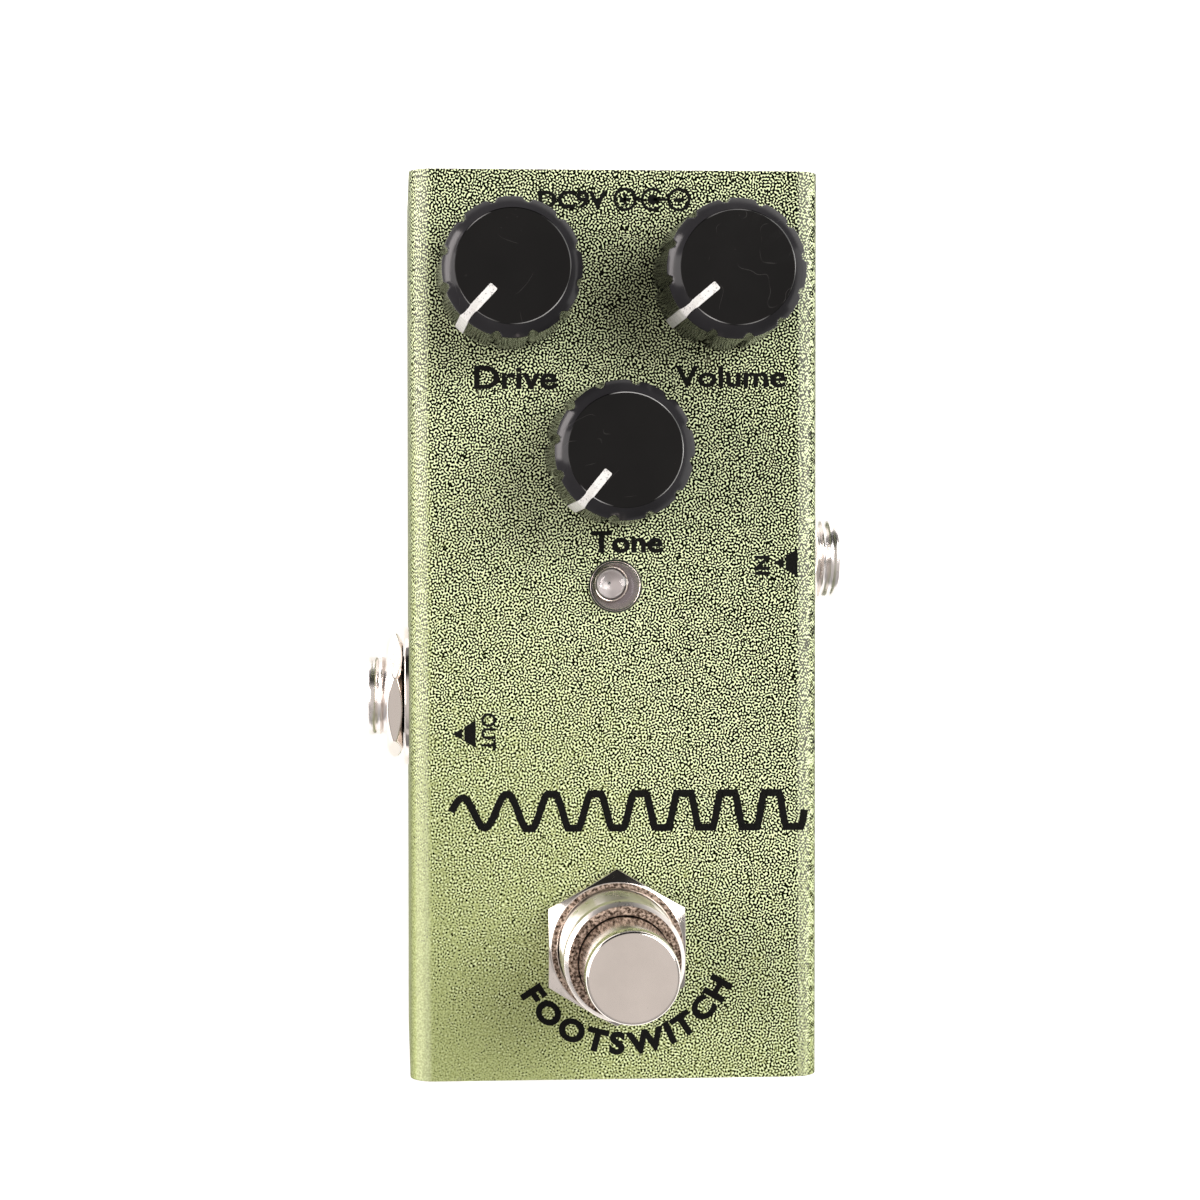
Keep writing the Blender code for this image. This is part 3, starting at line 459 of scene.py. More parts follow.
def ink():
    """Screen-printed black ink with a soft sheen and pinholes."""
    n = Nodes("label_ink")
    fleck = n.noise(5200.0, 3.0)
    blacks = [(0.3, (0.010, 0.010, 0.009)), (0.6, (0.004, 0.004, 0.004)), (0.8, (0.03, 0.033, 0.02))]
    n.set(
        Base_Color=n.ramp(fleck, blacks),
        Roughness=n.fit(fleck, 0.3, 0.7, 0.5, 0.7),
        Specular_IOR_Level=0.05,
        Normal=n.bump(fleck, 0.2, 0.01 * MM),
    )
    return n.material


def moulding(name, colour, roughness, grain_scale=2600.0):
    """Plain moulded plastic or rubber with a fine grain and uneven sheen."""
    n = Nodes(name)
    grain = n.noise(grain_scale, 4.0)
    cloud = n.noise(180.0, 3.0)
    light = tuple(min(1.0, 1.35 * v + 0.004) for v in colour)
    n.set(
        Base_Color=n.ramp(cloud, [(0.3, colour), (0.7, light)]),
        Roughness=n.fit(grain, 0.3, 0.7, roughness * 0.85, min(1.0, roughness * 1.15)),
        Normal=n.bump(grain, 0.25, 0.03 * MM),
    )
    return n.material


def rolled_metal(name, colour, roughness):
    """Rolled or plated sheet and wire: fine drawn lines over a cloudy surface."""
    n = Nodes(name)
    lines = n.noise(900.0, 3.0, 0.6, n.stretched(0.05))
    spangle = n.fit(n.separate(n.cells(420.0)), 0.0, 1.0, 0.0, 0.5)
    dark = tuple(0.82 * v for v in colour)
    n.set(
        Base_Color=n.mix(spangle, colour, dark),
        Metallic=1.0,
        Roughness=n.fit(lines, 0.3, 0.7, roughness * 0.75, roughness * 1.3),
        Normal=n.bump(lines, 0.15, 0.02 * MM),
    )
    return n.material


def board_laminate():
    """Green solder mask with the weave showing through and fine copper tracks under it."""
    n = Nodes("board_laminate")
    inputs = {"Vector": n.place, "Scale": 600.0}
    threads = [n.add("ShaderNodeTexWave", inputs, bands_direction=way).outputs["Fac"] for way in "XY"]
    weave = n.product(*threads)
    tracks = n.ramp(n.cells(160.0, "Distance", feature="DISTANCE_TO_EDGE"), [(0.06, 1.0), (0.09, 0.0)])
    n.set(
        Base_Color=n.mix(tracks, (0.018, 0.12, 0.05), (0.035, 0.2, 0.085)),
        Roughness=n.fit(weave, 0.0, 1.0, 0.42, 0.3),
        Normal=n.bump(n.math("ADD", weave, n.product(tracks, 2.0)), 0.2, 0.02 * MM),
    )
    return n.material


def clear_resin():
    """The lamp's water-clear resin with faint flow ripples."""
    n = Nodes("clear_resin")
    ripple = n.noise(420.0, 2.0)
    n.set(
        Base_Color=n.ramp(ripple, [(0.3, (0.93, 0.94, 0.93)), (0.7, (0.99, 0.99, 0.98))]),
        Roughness=n.fit(ripple, 0.3, 0.7, 0.02, 0.05),
        Transmission_Weight=1.0,
        IOR=1.52,
        Normal=n.bump(ripple, 0.03, 0.02 * MM),
    )
    return n.material


def lamp_chip():
    """The lamp's dark chip."""
    n = Nodes("lamp_chip")
    fleck = n.noise(3800.0, 2.0)
    n.set(
        Base_Color=n.ramp(fleck, [(0.3, (0.006, 0.005, 0.005)), (0.7, (0.02, 0.018, 0.018))]),
        Roughness=n.fit(fleck, 0.3, 0.7, 0.3, 0.5),
    )
    return n.material


def pale_floor():
    n = Nodes("pale_floor")
    cloud = n.noise(6.0, 3.0)
    n.set(
        Base_Color=n.ramp(cloud, [(0.3, (0.955, 0.955, 0.955)), (0.7, (0.965, 0.965, 0.965))]),
        Roughness=n.fit(cloud, 0.3, 0.7, 0.85, 0.9),
        Specular_IOR_Level=0.1,
        Emission_Color=(1.0, 1.0, 1.0, 1.0),
        Emission_Strength=0.42,
    )
    return n.material


PAINT = flake_paint()
NICKEL = nickel()
WORN_NICKEL = nickel("worn_nickel", 0.16, 1.4, (0.80, 0.72, 0.65))
SLEEVE_NICKEL = nickel("sleeve_nickel", 0.22, 1.0, (0.88, 0.84, 0.82))
KNOB_BLACK = knob_plastic()
WHITE = white_fill()
INK = ink()
ZINC = rolled_metal("zinc_plate", (0.40, 0.40, 0.39), 0.42)
SPRING_STEEL = rolled_metal("spring_steel", (0.55, 0.55, 0.57), 0.28)
BRASS = rolled_metal("contact_brass", (0.72, 0.52, 0.24), 0.25)
BLACK_MOULDING = moulding("black_moulding", (0.014, 0.014, 0.015), 0.42)
RUBBER = moulding("black_rubber", (0.02, 0.02, 0.02), 0.8, 1500.0)
FILM_RED = moulding("dipped_red", (0.30, 0.035, 0.025), 0.3)
BOARD = board_laminate()
RESIN = clear_resin()
CHIP = lamp_chip()
LAMP_SILVER = rolled_metal("lamp_silver", (0.60, 0.55, 0.55), 0.6)
LAMP_MAUVE = moulding("lamp_mauve", (0.21, 0.17, 0.185), 0.35, 3200.0)


# Camera, lights and floor


def add_light(name, place, target, size, power, colour=(1.0, 1.0, 1.0)):
    data = bpy.data.lights.new(name, "AREA")
    data.shape = "RECTANGLE"
    data.size, data.size_y = size
    data.energy = power
    data.color = colour
    lamp = bpy.data.objects.new(name, data)
    lamp.location = place
    direction = Vector(target) - Vector(place)
    lamp.rotation_euler = direction.to_track_quat("-Z", "Y").to_euler()
    bpy.context.scene.collection.objects.link(lamp)


def make_world():
    """A dim studio: paler overhead, dark above the horizon behind, a pale band part-way up in front."""
    world = bpy.data.worlds.new("studio")
    bpy.context.scene.world = world
    world.use_nodes = True
    w = Tree(world.node_tree)
    _, y, z = w.axes(w.add("ShaderNodeTexCoord").outputs["Generated"])
    sky = w.ramp(z, [(0.0, (0.20, 0.20, 0.205)), (0.6, (0.30, 0.29, 0.28)), (0.94, (0.72, 0.67, 0.64))])
    before_rear = w.fit(y, 0.45, 0.65, 1.0, 0.06)
    near_horizon = w.fit(z, 0.22, 0.32, 1.0, 0.0)
    sky = w.vectors("SCALE", sky, w.math("MAXIMUM", before_rear, near_horizon))
    pale = (0.74, 0.70, 0.68)
    band = w.ramp(z, [(0.38, 0.0), (0.44, pale), (0.56, pale), (0.62, 0.0)])
    band = w.vectors("SCALE", band, w.fit(y, -0.30, -0.15, 1.0, 0.0))
    w.put(w.tree.nodes["Background"].inputs["Color"], w.vectors("MAXIMUM", sky, band))


def set_stage():
    scene = bpy.context.scene
    scene.view_settings.view_transform = "Standard"
    scene.view_settings.look = "None"
    camera_data = bpy.data.cameras.new("camera")
    camera_data.sensor_width = 36.0
    camera_data.lens = 73.2
    camera_data.shift_x = 0.05
    camera_data.shift_y = -0.0084
    camera_data.clip_start = 0.01
    camera = bpy.data.objects.new("camera", camera_data)
    camera.location = (-22.53 * MM, 8.94 * MM, PANEL_Z + 248.3 * MM)
    camera.rotation_euler = Euler((-0.0209, -0.0596, -0.0009), "XYZ")
    scene.collection.objects.link(camera)
    scene.camera = camera

    make_world()
    centre = (0, 0, PANEL_Z)
    add_light("key_softbox", (0.34, 0.20, 0.44), centre, (0.34, 0.40), 3.0, (1.0, 0.985, 0.96))
    add_light("left_softbox", (-0.42, 0.05, 0.34), centre, (0.30, 0.40), 1.3, (1.0, 0.95, 0.93))
    add_light("left_strip", (-0.55, 0.18, 0.12), centre, (0.50, 0.12), 2.0, (1.0, 0.93, 0.92))
    add_light("right_strip", (0.55, 0.0, 0.07), centre, (0.50, 0.10), 0.22, (1.0, 0.98, 0.96))

    bm = bmesh.new()
    bmesh.ops.create_grid(bm, x_segments=8, y_segments=8, size=3.0)
    mesh = bpy.data.meshes.new("floor")
    bm.to_mesh(mesh)
    bm.free()
    mesh.materials.append(pale_floor())
    floor = bpy.data.objects.new("floor", mesh)
    scene.collection.objects.link(floor)


# Case


def cut(thing, bm, name, place=(0, 0, 0), turn=(0, 0, 0)):
    """Cuts a tool's shape out of a piece now, so that the tool doesn't stay in the scene."""
    mesh = bpy.data.meshes.new(name)
    bm.to_mesh(mesh)
    bm.free()
    tool = bpy.data.objects.new(name, mesh)
    tool.location = place
    tool.rotation_euler = turn
    bpy.context.scene.collection.objects.link(tool)
    modifier = thing.modifiers.new(name, "BOOLEAN")
    modifier.object = tool
    modifier.solver = "EXACT"
    bpy.context.view_layer.update()
    depsgraph = bpy.context.evaluated_depsgraph_get()
    result = bpy.data.meshes.new_from_object(thing.evaluated_get(depsgraph), depsgraph=depsgraph)
    thing.modifiers.remove(modifier)
    old = thing.data
    thing.data = result
    result.name = thing.name
    bpy.data.meshes.remove(old)
    bpy.data.objects.remove(tool)


def hole_tool(radius):
    depth = 4 * MM
    return lathe([(radius, depth), (radius, -depth)], 64)


def make_cover():
    """The folded cover: round bends along both sides, and holes for everything that passes through."""
    half = COVER_HIGH.x
    foot = COVER_LOW.z

    def fold(reach, top, radius, steps):
        corners = [(-reach, foot, 0), (-reach, top, radius), (reach, top, radius), (reach, foot, 0)]
        return rounded(corners, steps)

    inner = fold(half - SHEET, PANEL_Z - SHEET, BEND_RADIUS - SHEET, 6)
    outline = fold(half, PANEL_Z, BEND_RADIUS, 12) + inner[::-1]
    bm = skin([[(x, y, z) for x, z in outline] for y in (COVER_LOW.y, COVER_HIGH.y)])
    cover = piece("fine_cover", bm, PAINT, "case", replaces=("top_cover",))
    cover.modifiers.clear()
    for name, place in KNOB_PLACES.items():
        cut(cover, hole_tool(SHAFT_HOLE), f"{name}_hole", (place.x, place.y, PANEL_Z))
    cut(cover, hole_tool(LAMP_HOLE), "lamp_hole", (LAMP.x, LAMP.y, PANEL_Z))
    cut(cover, hole_tool(SWITCH_HOLE), "switch_hole", (SWITCH.x, SWITCH.y, PANEL_Z))
    for name, side in SOCKETS.items():
        place = (side * half, SOCKET_PLACES[name].y, SOCKET_PLACES[name].z)
        cut(cover, hole_tool(SOCKET_HOLE), f"{name}_hole", place, (0, QUARTER_TURN, 0))
    sink = [(4.2 * MM, 1.2 * MM), (3.0 * MM, 0.0), (1.8 * MM, -1.3 * MM), (1.8 * MM, -3 * MM)]
    for end in ("front", "rear"):
        for side_name, side in (("left", -1), ("right", 1)):
            centre = middle(f"{side_name}_{end}_screw")
            place = (side * half, centre.y, centre.z)
            cut(cover, lathe(sink, 48), "screw_sink", place, (0, side * QUARTER_TURN, 0))
    soften(cover, 30)
    bevel_edges(cover, 0.12 * MM, 2, 40)


# Knobs


def knob_outer_radius(height):
    share = (height - KNOB_LIFT) / (KNOB_TOP - KNOB_BEVEL - KNOB_LIFT)
    return KNOB_FOOT_RADIUS + (KNOB_RIM_RADIUS - KNOB_FOOT_RADIUS) * share


def flute_cut(angle):
    """Depth of the round-bottomed flutes at an angle in degrees."""
    pitch = 360 / KNOB_FLUTES
    away = abs((angle + pitch / 2) % pitch - pitch / 2)
    return FLUTE_DEPTH * max(0.0, 1 - (away / FLUTE_HALF_ANGLE) ** 2)


def flute_angles():
    """Angles round the knob: close together in the flutes, further apart between them."""
    pitch = 360 / KNOB_FLUTES
    inside = [FLUTE_HALF_ANGLE * step / 5 for step in range(-5, 6)]
    between = [FLUTE_HALF_ANGLE + (pitch - 2 * FLUTE_HALF_ANGLE) * step / 6 for step in range(1, 6)]
    return [flute * pitch + angle for flute in range(KNOB_FLUTES) for angle in inside + between]


def knob_profile():
    """Outline from the top's middle out and down: flat, bevel with close rings, side, hollow."""
    corners = rounded(
        [
            (1.2 * MM, KNOB_TOP, 0),
            (KNOB_TOP_RADIUS, KNOB_TOP, 0.3 * MM),
            (KNOB_RIM_RADIUS, KNOB_TOP - KNOB_BEVEL, 0.16 * MM),
            (KNOB_FOOT_RADIUS, KNOB_LIFT, 0.18 * MM),
            (5.7 * MM, KNOB_LIFT, 0.12 * MM),
            (5.6 * MM, 3.3 * MM, 0.2 * MM),
            (3.1 * MM, 3.3 * MM, 0),
        ],
        5,
    )
    top_end = 7
    bevel_start, bevel_end = corners[top_end - 1:top_end + 1]
    bevel_steps = 8
    bevel = []
    lean = math.atan2(KNOB_BEVEL, KNOB_RIM_RADIUS - KNOB_TOP_RADIUS)
    for step in range(1, bevel_steps):
        share = step / bevel_steps
        radius, height = (a + (b - a) * share for a, b in zip(bevel_start, bevel_end))
        bulge = KNOB_BULGE * 4 * share * (1 - share)
        bevel.append((radius + bulge * math.sin(lean), height + bulge * math.cos(lean)))
    return corners[:top_end] + bevel + corners[top_end:]


def make_knob(name):
    rings = []
    for radius, height in knob_profile():
        ring = []
        for angle in flute_angles():
            limit = knob_outer_radius(height) - flute_cut(angle)
            reach = min(radius, limit)
            turn = math.radians(angle)
            ring.append((reach * math.cos(turn), reach * math.sin(turn), height))
        rings.append(ring)
    place = KNOB_PLACES[name]
    turn = (0, 0, math.radians(POINTER_ANGLES[name]))
    body = f"{name}_control"
    stand = (place.x, place.y, PANEL_Z)
    bm = skin(rings)
    piece(f"{name}_knob_fine", bm, KNOB_BLACK, body, stand, turn, (f"{name}_knob",), 28)
    make_pointer(name, body, stand, turn)


def pointer_stations():
    """Stations along the pointer from the top's middle outwards: radius, height, lean, half width."""
    wide, neck, foot = 0.45 * MM, 0.37 * MM, 0.53 * MM
    inner = 2.65 * MM
    corner = 0.16 * MM
    bevel_run = KNOB_RIM_RADIUS - KNOB_TOP_RADIUS
    stations = []
    for angle in (8, 35, 60, 90):
        turn = math.radians(angle)
        half = wide - corner * (1 - math.sin(turn))
        stations.append((inner + corner * (1 - math.cos(turn)), KNOB_TOP, 0.0, half))
    stations.append((KNOB_TOP_RADIUS - 0.12 * MM, KNOB_TOP, 0.0, wide))
    stations.append((KNOB_TOP_RADIUS - 0.02 * MM, KNOB_TOP - 0.01 * MM, 18.0, 0.42 * MM))
    for share, half in ((0.12, neck), (0.5, neck), (0.88, 0.45 * MM)):
        height = KNOB_TOP - KNOB_BEVEL * share
        stations.append((KNOB_TOP_RADIUS + bevel_run * share, height, BEVEL_LEAN, half))
    stations.append((KNOB_RIM_RADIUS - 0.03 * MM, KNOB_TOP - KNOB_BEVEL - 0.08 * MM, 66.0, 0.5 * MM))
    stations.append((KNOB_RIM_RADIUS, KNOB_TOP - KNOB_BEVEL - 0.3 * MM, 88.0, foot))
    stations.append((KNOB_FOOT_RADIUS - 0.02 * MM, KNOB_LIFT + 0.05 * MM, 88.0, foot))
    return stations


def make_pointer(name, body, stand, turn):
    """A white bar let into the knob: along the top, narrow over the bevel, wide down one flute."""
    proud, depth = 0.025 * MM, 0.4 * MM
    rings = []
    for radius, height, lean, half in pointer_stations():
        out, up = math.sin(math.radians(lean)), math.cos(math.radians(lean))
        lift = proud + (KNOB_BULGE if lean == BEVEL_LEAN else 0.0)
        x, z = radius + lift * out, height + lift * up
        low_x, low_z = radius - depth * out, height - depth * up
        rings.append([(x, half, z), (x, -half, z), (low_x, -half, low_z), (low_x, half, low_z)])
    bar = piece(f"{name}_pointer", skin(rings), WHITE, body, stand, turn, sharp=40)
    bevel_edges(bar, 0.04 * MM, 2, 60)


# Nuts and threads


def hex_reach(angle, flats):
    """Distance from a hexagon's middle to its edge; the first flat faces the angle 0."""
    away = (angle + 30) % 60 - 30
    return flats / 2 / math.cos(math.radians(away))


def hex_nut(flats, bore, thickness, face, chamfer=0.35 * MM):
    """A hexagon nut whose corners are turned down to a round face on both sides."""
    angles = range(-30, 330, 6)
    fall = math.tan(math.radians(30))

    def point(angle, radius, height):
        turn = math.radians(angle)
        return (radius * math.cos(turn), radius * math.sin(turn), height)

    def ring(radius, height):
        return [point(angle, radius, height) for angle in angles]

    def edge(height, side):
        points = []
        for angle in angles:
            reach = hex_reach(angle, flats)
            drop = max(0.02 * MM, (reach - face) * fall)
            points.append(point(angle, reach, height - side * drop))
        return points

    rings = [
        ring(bore, thickness - chamfer),
        ring(bore + chamfer, thickness),
        ring(face, thickness),
        edge(thickness, 1),
        edge(0.0, -1),
        ring(face, 0.0),
        ring(bore + chamfer, 0.0),
        ring(bore, chamfer),
    ]
    return skin(rings, closed=True)


def thread_rings(radius, depth, low, high, segments):
    """Rings of a screw thread from high to low; the crest climbs one pitch each turn."""
    pitch, per_turn = 0.75 * MM, 6
    count = int((high - low) / pitch * per_turn)
    rings = []
    for step in range(count + 1):
        z = high + (low - high) * step / count
        fade = min(1.0, step / per_turn, (count - step) / per_turn)
        ring = []
        for index in range(segments):
            share = index / segments
            phase = (z / pitch + share) % 1.0
            valley = 1 - abs(2 * phase - 1)
            reach = radius - depth * fade * valley
            ring.append((reach * math.cos(math.tau * share), reach * math.sin(math.tau * share), z))
        rings.append(ring)
    return rings


def make_footswitch():
    """The panel nut, the threaded bushing and the button, each finer than its CAD solid."""
    stand = (SWITCH.x, SWITCH.y, 0)
    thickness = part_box("footswitch_nut")[1].z - PANEL_Z
    nut = hex_nut(14.0 * MM, 6.05 * MM, thickness, 6.75 * MM, 0.12 * MM)
    place = (SWITCH.x, SWITCH.y, PANEL_Z)
    # The brown on the nut's round face is a painted reflection.
    brown_ring = nickel("rubbed_nut", brown_ring=(6.2 * MM, 6.7 * MM, thickness - 0.04 * MM))
    replaced = ("footswitch_nut",)
    panel_nut = piece("footswitch_panel_nut", nut, brown_ring, "case", place, replaces=replaced)
    bevel_edges(panel_nut, 0.1 * MM, 3, 25)
    can_top = PANEL_Z - 5.0 * MM
    make_footswitch_bushing(stand, can_top)
    make_footswitch_can(stand, can_top)
    make_footswitch_spring(stand)
    flange_radius = 6.3 * MM
    flange_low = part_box("footswitch_button")[0].z
    flange_top = flange_low + 2.0 * MM
    profile = rounded(
        [
            (1.0 * MM, SWITCH_TOP, 0),
            (SWITCH_RADIUS - 0.08 * MM, SWITCH_TOP, 0.4 * MM),
            (SWITCH_RADIUS, SWITCH_TOP - 1.2 * MM, 0.3 * MM),
            (SWITCH_RADIUS, flange_top, 0.1 * MM),
            (flange_radius, flange_top, 0.2 * MM),
            (flange_radius, flange_low, 0.2 * MM),
            (1.0 * MM, flange_low, 0),
        ],
        6,
    )
    body, replaced = "footswitch_plunger", ("footswitch_button",)
    piece("footswitch_cap", lathe(profile), NICKEL, body, stand, replaces=replaced, sharp=50)


def make_footswitch_bushing(stand, can_top):
    """The bushing: a plain bore, a chamfered top with a rough face painted brown, and a thread down to the
    can.
    """
    radius, bore, face = 6.0 * MM, 4.67 * MM, 5.55 * MM
    top = BUSHING_TOP
    foot = can_top - 1.0 * MM
    segments = 72
    head = rounded(
        [
            (bore, foot, 0),
            (bore, top, 0.1 * MM),
            (face, top, 0.12 * MM),
            (radius, top - 0.45 * MM, 0.15 * MM),
            (radius, top - 1.2 * MM, 0),
        ],
        5,
    )
    rings = [circle(reach, height, segments) for reach, height in head]
    rings += thread_rings(radius, 0.28 * MM, can_top + 0.3 * MM, top - 1.3 * MM, segments)
    rings += [circle(radius, foot, segments)]
    bushing = skin(rings, closed=True)
    brown_ring = nickel("rubbed_bushing", 0.26, brown_ring=(4.6 * MM, 5.58 * MM, top - 0.06 * MM))
    replaced = ("footswitch_body",)
    piece("footswitch_bushing", bushing, brown_ring, "case", stand, replaces=replaced)


def make_footswitch_spring(stand):
    """The return spring, a coil of round wire in the CAD spring's place."""
    low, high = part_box("footswitch_spring")
    wire = 0.28 * MM
    coil_radius = (high.x - low.x) / 2 - wire
    turns, steps_per_turn, sides = 3, 40, 10
    rise = high.z - low.z - 2 * wire
    rings = []
    for step in range(turns * steps_per_turn + 1):
        share = step / (turns * steps_per_turn)
        angle = math.tau * turns * share
        middle_z = low.z + wire + rise * share
        ring = []
        for side in range(sides):
            around = math.tau * side / sides
            reach = coil_radius + wire * math.cos(around)
            height = middle_z + wire * math.sin(around)
            ring.append((reach * math.cos(angle), reach * math.sin(angle), height))
        rings.append(ring)
    replaced = ("footswitch_spring",)
    spring = piece("footswitch_coil", skin(rings), SPRING_STEEL, "case", stand, replaces=replaced)
    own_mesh(spring)


def make_footswitch_can(stand, can_top):
    """The square can under the panel, hollow for the plunger and its spring."""
    low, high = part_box("footswitch_body")
    height = can_top - low.z
    bm = bmesh.new()
    bmesh.ops.create_cube(bm, size=1.0)
    bmesh.ops.scale(bm, vec=(high.x - low.x, high.y - low.y, height), verts=bm.verts)
    place = (stand[0], stand[1], low.z + height / 2)
    can = piece("footswitch_can", bm, WORN_NICKEL, "case", place)
    can.modifiers.clear()
    neck, wide, step = 4.9 * MM, 6.8 * MM, -1.5 * MM
    hollow = [(neck, 10 * MM), (neck, step), (wide, step), (wide, -10 * MM)]
    cut(can, lathe(hollow, 64), "can_hollow", (stand[0], stand[1], can_top))
    soften(can)
    bevel_edges(can, 0.3 * MM, 3, 60)


def make_side_socket(name, side):
    """Any washer, the nut and the threaded sleeve of a side socket. Its own Z points out of the case."""
    centre = SOCKET_PLACES[name]
    turn = (0, side * QUARTER_TURN, 0)
    place = (0, centre.y, centre.z)
    low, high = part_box(f"{name}_socket_bushing")
    reach = high.x if side > 0 else -low.x
    wall = COVER_HIGH.x
    nut_foot = wall + 0.03 * MM
    washer_node = f"{name}_socket_washer"
    if washer_node in frame["nodes"]:
        nut_foot = wall + 0.6 * MM
        face = wall + 0.5 * MM
        bore, rim = 4.4 * MM, 7.45 * MM
        corners = [(bore, wall, 0), (bore, face, 0.08 * MM)]
        corners += [(rim, face, 0.18 * MM), (rim, wall + 0.02 * MM, 0)]
        washer = lathe(rounded(corners, 3), 96, closed=True)
        piece(f"{name}_washer_fine", washer, NICKEL, "case", place, turn, (washer_node,))
    nut = hex_nut(12.0 * MM, 4.3 * MM, SOCKET_NUT_THICKNESS, 5.7 * MM)
    nut_turn = Matrix.Rotation(math.radians(SOCKET_NUT_TURN), 4, "Z")
    bmesh.ops.transform(nut, matrix=nut_turn, verts=nut.verts)
    nut_place = (side * nut_foot, centre.y, centre.z)
    replaced = (f"{name}_socket_nut",)
    nut_piece = piece(f"{name}_nut_fine", nut, NICKEL, "case", nut_place, turn, replaced)
    bevel_edges(nut_piece, 0.09 * MM, 3, 25)
    segments = 72
    bore, outside, flange = 3.2 * MM, 4.25 * MM, 5.8 * MM
    head = [(bore, reach - 12 * MM, 0), (bore, reach, 0.3 * MM)]
    head += [(4.15 * MM, reach, 0.12 * MM), (outside, reach - 0.3 * MM, 0)]
    rings = [circle(radius, height, segments) for radius, height in rounded(head, 5)]
    rings += thread_rings(outside, 0.25 * MM, wall - 1.6 * MM, reach - 0.35 * MM, segments)
    tail = [(flange, wall - 1.8 * MM), (flange, wall - 3.3 * MM), (bore, wall - 3.3 * MM)]
    rings += [circle(radius, height, segments) for radius, height in tail]
    sleeve = skin(rings, closed=True)
    replaced = (f"{name}_socket_bushing",)
    piece(f"{name}_sleeve_fine", sleeve, SLEEVE_NICKEL, "case", place, turn, replaced)


# Lamp


def thin_ring(inner, outer, low, high):
    """Outline of a thin upright ring with small roundings at its top."""
    corner = 0.03 * MM
    return rounded([(inner, low, 0), (inner, high, corner), (outer, high, corner), (outer, low, 0)], 3)


def make_lamp():
    """A clear domed lens over a silver cup with its chip and rim, a seat, two posts and a collar."""
    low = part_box("lamp_lens")[0].z
    stand = (LAMP.x, LAMP.y, 0)
    radius, flange, middle_gap = 2.42 * MM, 2.9 * MM, 0.1 * MM
    dome_z = LAMP_TOP - radius
    profile = [(middle_gap, LAMP_TOP)]
    for degrees in range(86, -1, -6):
        angle = math.radians(degrees)
        profile.append((radius * math.cos(angle), dome_z + radius * math.sin(angle)))
    foot = [(radius, low + 1.1 * MM, 0), (flange, low + 1.0 * MM, 0.1 * MM)]
    foot += [(flange, low, 0.1 * MM), (middle_gap, low, 0)]
    dome = lathe(profile + rounded(foot, 3), 80)
    piece("lamp_dome", dome, RESIN, "case", stand, replaces=("lamp_lens",), sharp=50)

    cup_top = LAMP_TOP - 2.2 * MM
    cup_place = (LAMP.x - 0.42 * MM, LAMP.y + 0.2 * MM, 0)
    cup = rounded(
        [
            (0.12 * MM, cup_top - 0.3 * MM, 0),
            (0.9 * MM, cup_top, 0.2 * MM),
            (1.08 * MM, cup_top, 0.06 * MM),
            (0.8 * MM, cup_top - 1.4 * MM, 0.1 * MM),
            (0.12 * MM, cup_top - 1.8 * MM, 0),
        ],
        3,
    )
    piece("lamp_cup", lathe(cup, 40), LAMP_SILVER, "case", cup_place)
    chip = [(0.04, 0.24), (0.10, 0.26), (0.10, 0.31)]
    chip = lathe([(reach * MM, cup_top - drop * MM) for reach, drop in chip], 24)
    piece("lamp_chip_dot", chip, CHIP, "case", cup_place)
    rim = lathe(thin_ring(1.17 * MM, 1.28 * MM, cup_top - 0.6 * MM, cup_top - 0.1 * MM), 48, closed=True)
    piece("lamp_cup_rim", rim, WORN_NICKEL, "case", cup_place)
    seat_radius, seat_top, seat_low = 1.85 * MM, cup_top - 0.7 * MM, cup_top - 0.9 * MM
    seat = [(middle_gap, seat_top, 0), (seat_radius, seat_top, 0.05 * MM)]
    seat += [(seat_radius, seat_low, 0.05 * MM), (middle_gap, seat_low, 0)]
    piece("lamp_seat", lathe(rounded(seat, 3), 64), LAMP_MAUVE, "case", stand)
    collar = thin_ring(2.50 * MM, 2.58 * MM, PANEL_Z - 0.9 * MM, PANEL_Z - 0.05 * MM)
    piece("lamp_collar", lathe(collar, 96, closed=True), NICKEL, "case", stand)
    for post, x, top in (("cathode", -1.0, cup_top - 1.9 * MM), ("anode", 1.1, cup_top - 1.1 * MM)):
        bm = bmesh.new()
        bmesh.ops.create_cube(bm, size=1.0)
        height = top - low - 0.1 * MM
        bmesh.ops.scale(bm, vec=(0.55 * MM, 0.5 * MM, height), verts=bm.verts)
        place = (LAMP.x + x * MM, LAMP.y, low + 0.1 * MM + height / 2)
        post_piece = piece(f"lamp_{post}_post", bm, WORN_NICKEL, "case", place)
        bevel_edges(post_piece, 0.08 * MM, 2)


# Labels

LABEL_Z = PANEL_Z + 0.012 * MM
LABEL_THICKNESS = 0.02 * MM
CAPITAL_SHARE = 0.73


def label_mesh(text, weight):
    """A word one unit high as a thin solid, centred, its strokes thickened by the weight."""
    data = bpy.data.curves.new("label", "FONT")
    data.body = text
    data.align_x = "CENTER"
    data.align_y = "CENTER"
    data.size = 1 / CAPITAL_SHARE
    data.offset = weight
    data.extrude = 0.5
    data.resolution_u = 5
    thing = bpy.data.objects.new("label", data)
    bpy.context.scene.collection.objects.link(thing)
    bpy.context.view_layer.update()
    depsgraph = bpy.context.evaluated_depsgraph_get()
    mesh = bpy.data.meshes.new_from_object(thing.evaluated_get(depsgraph), depsgraph=depsgraph)
    bpy.data.objects.remove(thing)
    bpy.data.curves.remove(data)
    bm = bmesh.new()
    bm.from_mesh(mesh)
    bpy.data.meshes.remove(mesh)
    bmesh.ops.remove_doubles(bm, verts=bm.verts, dist=1e-5)
    return bm


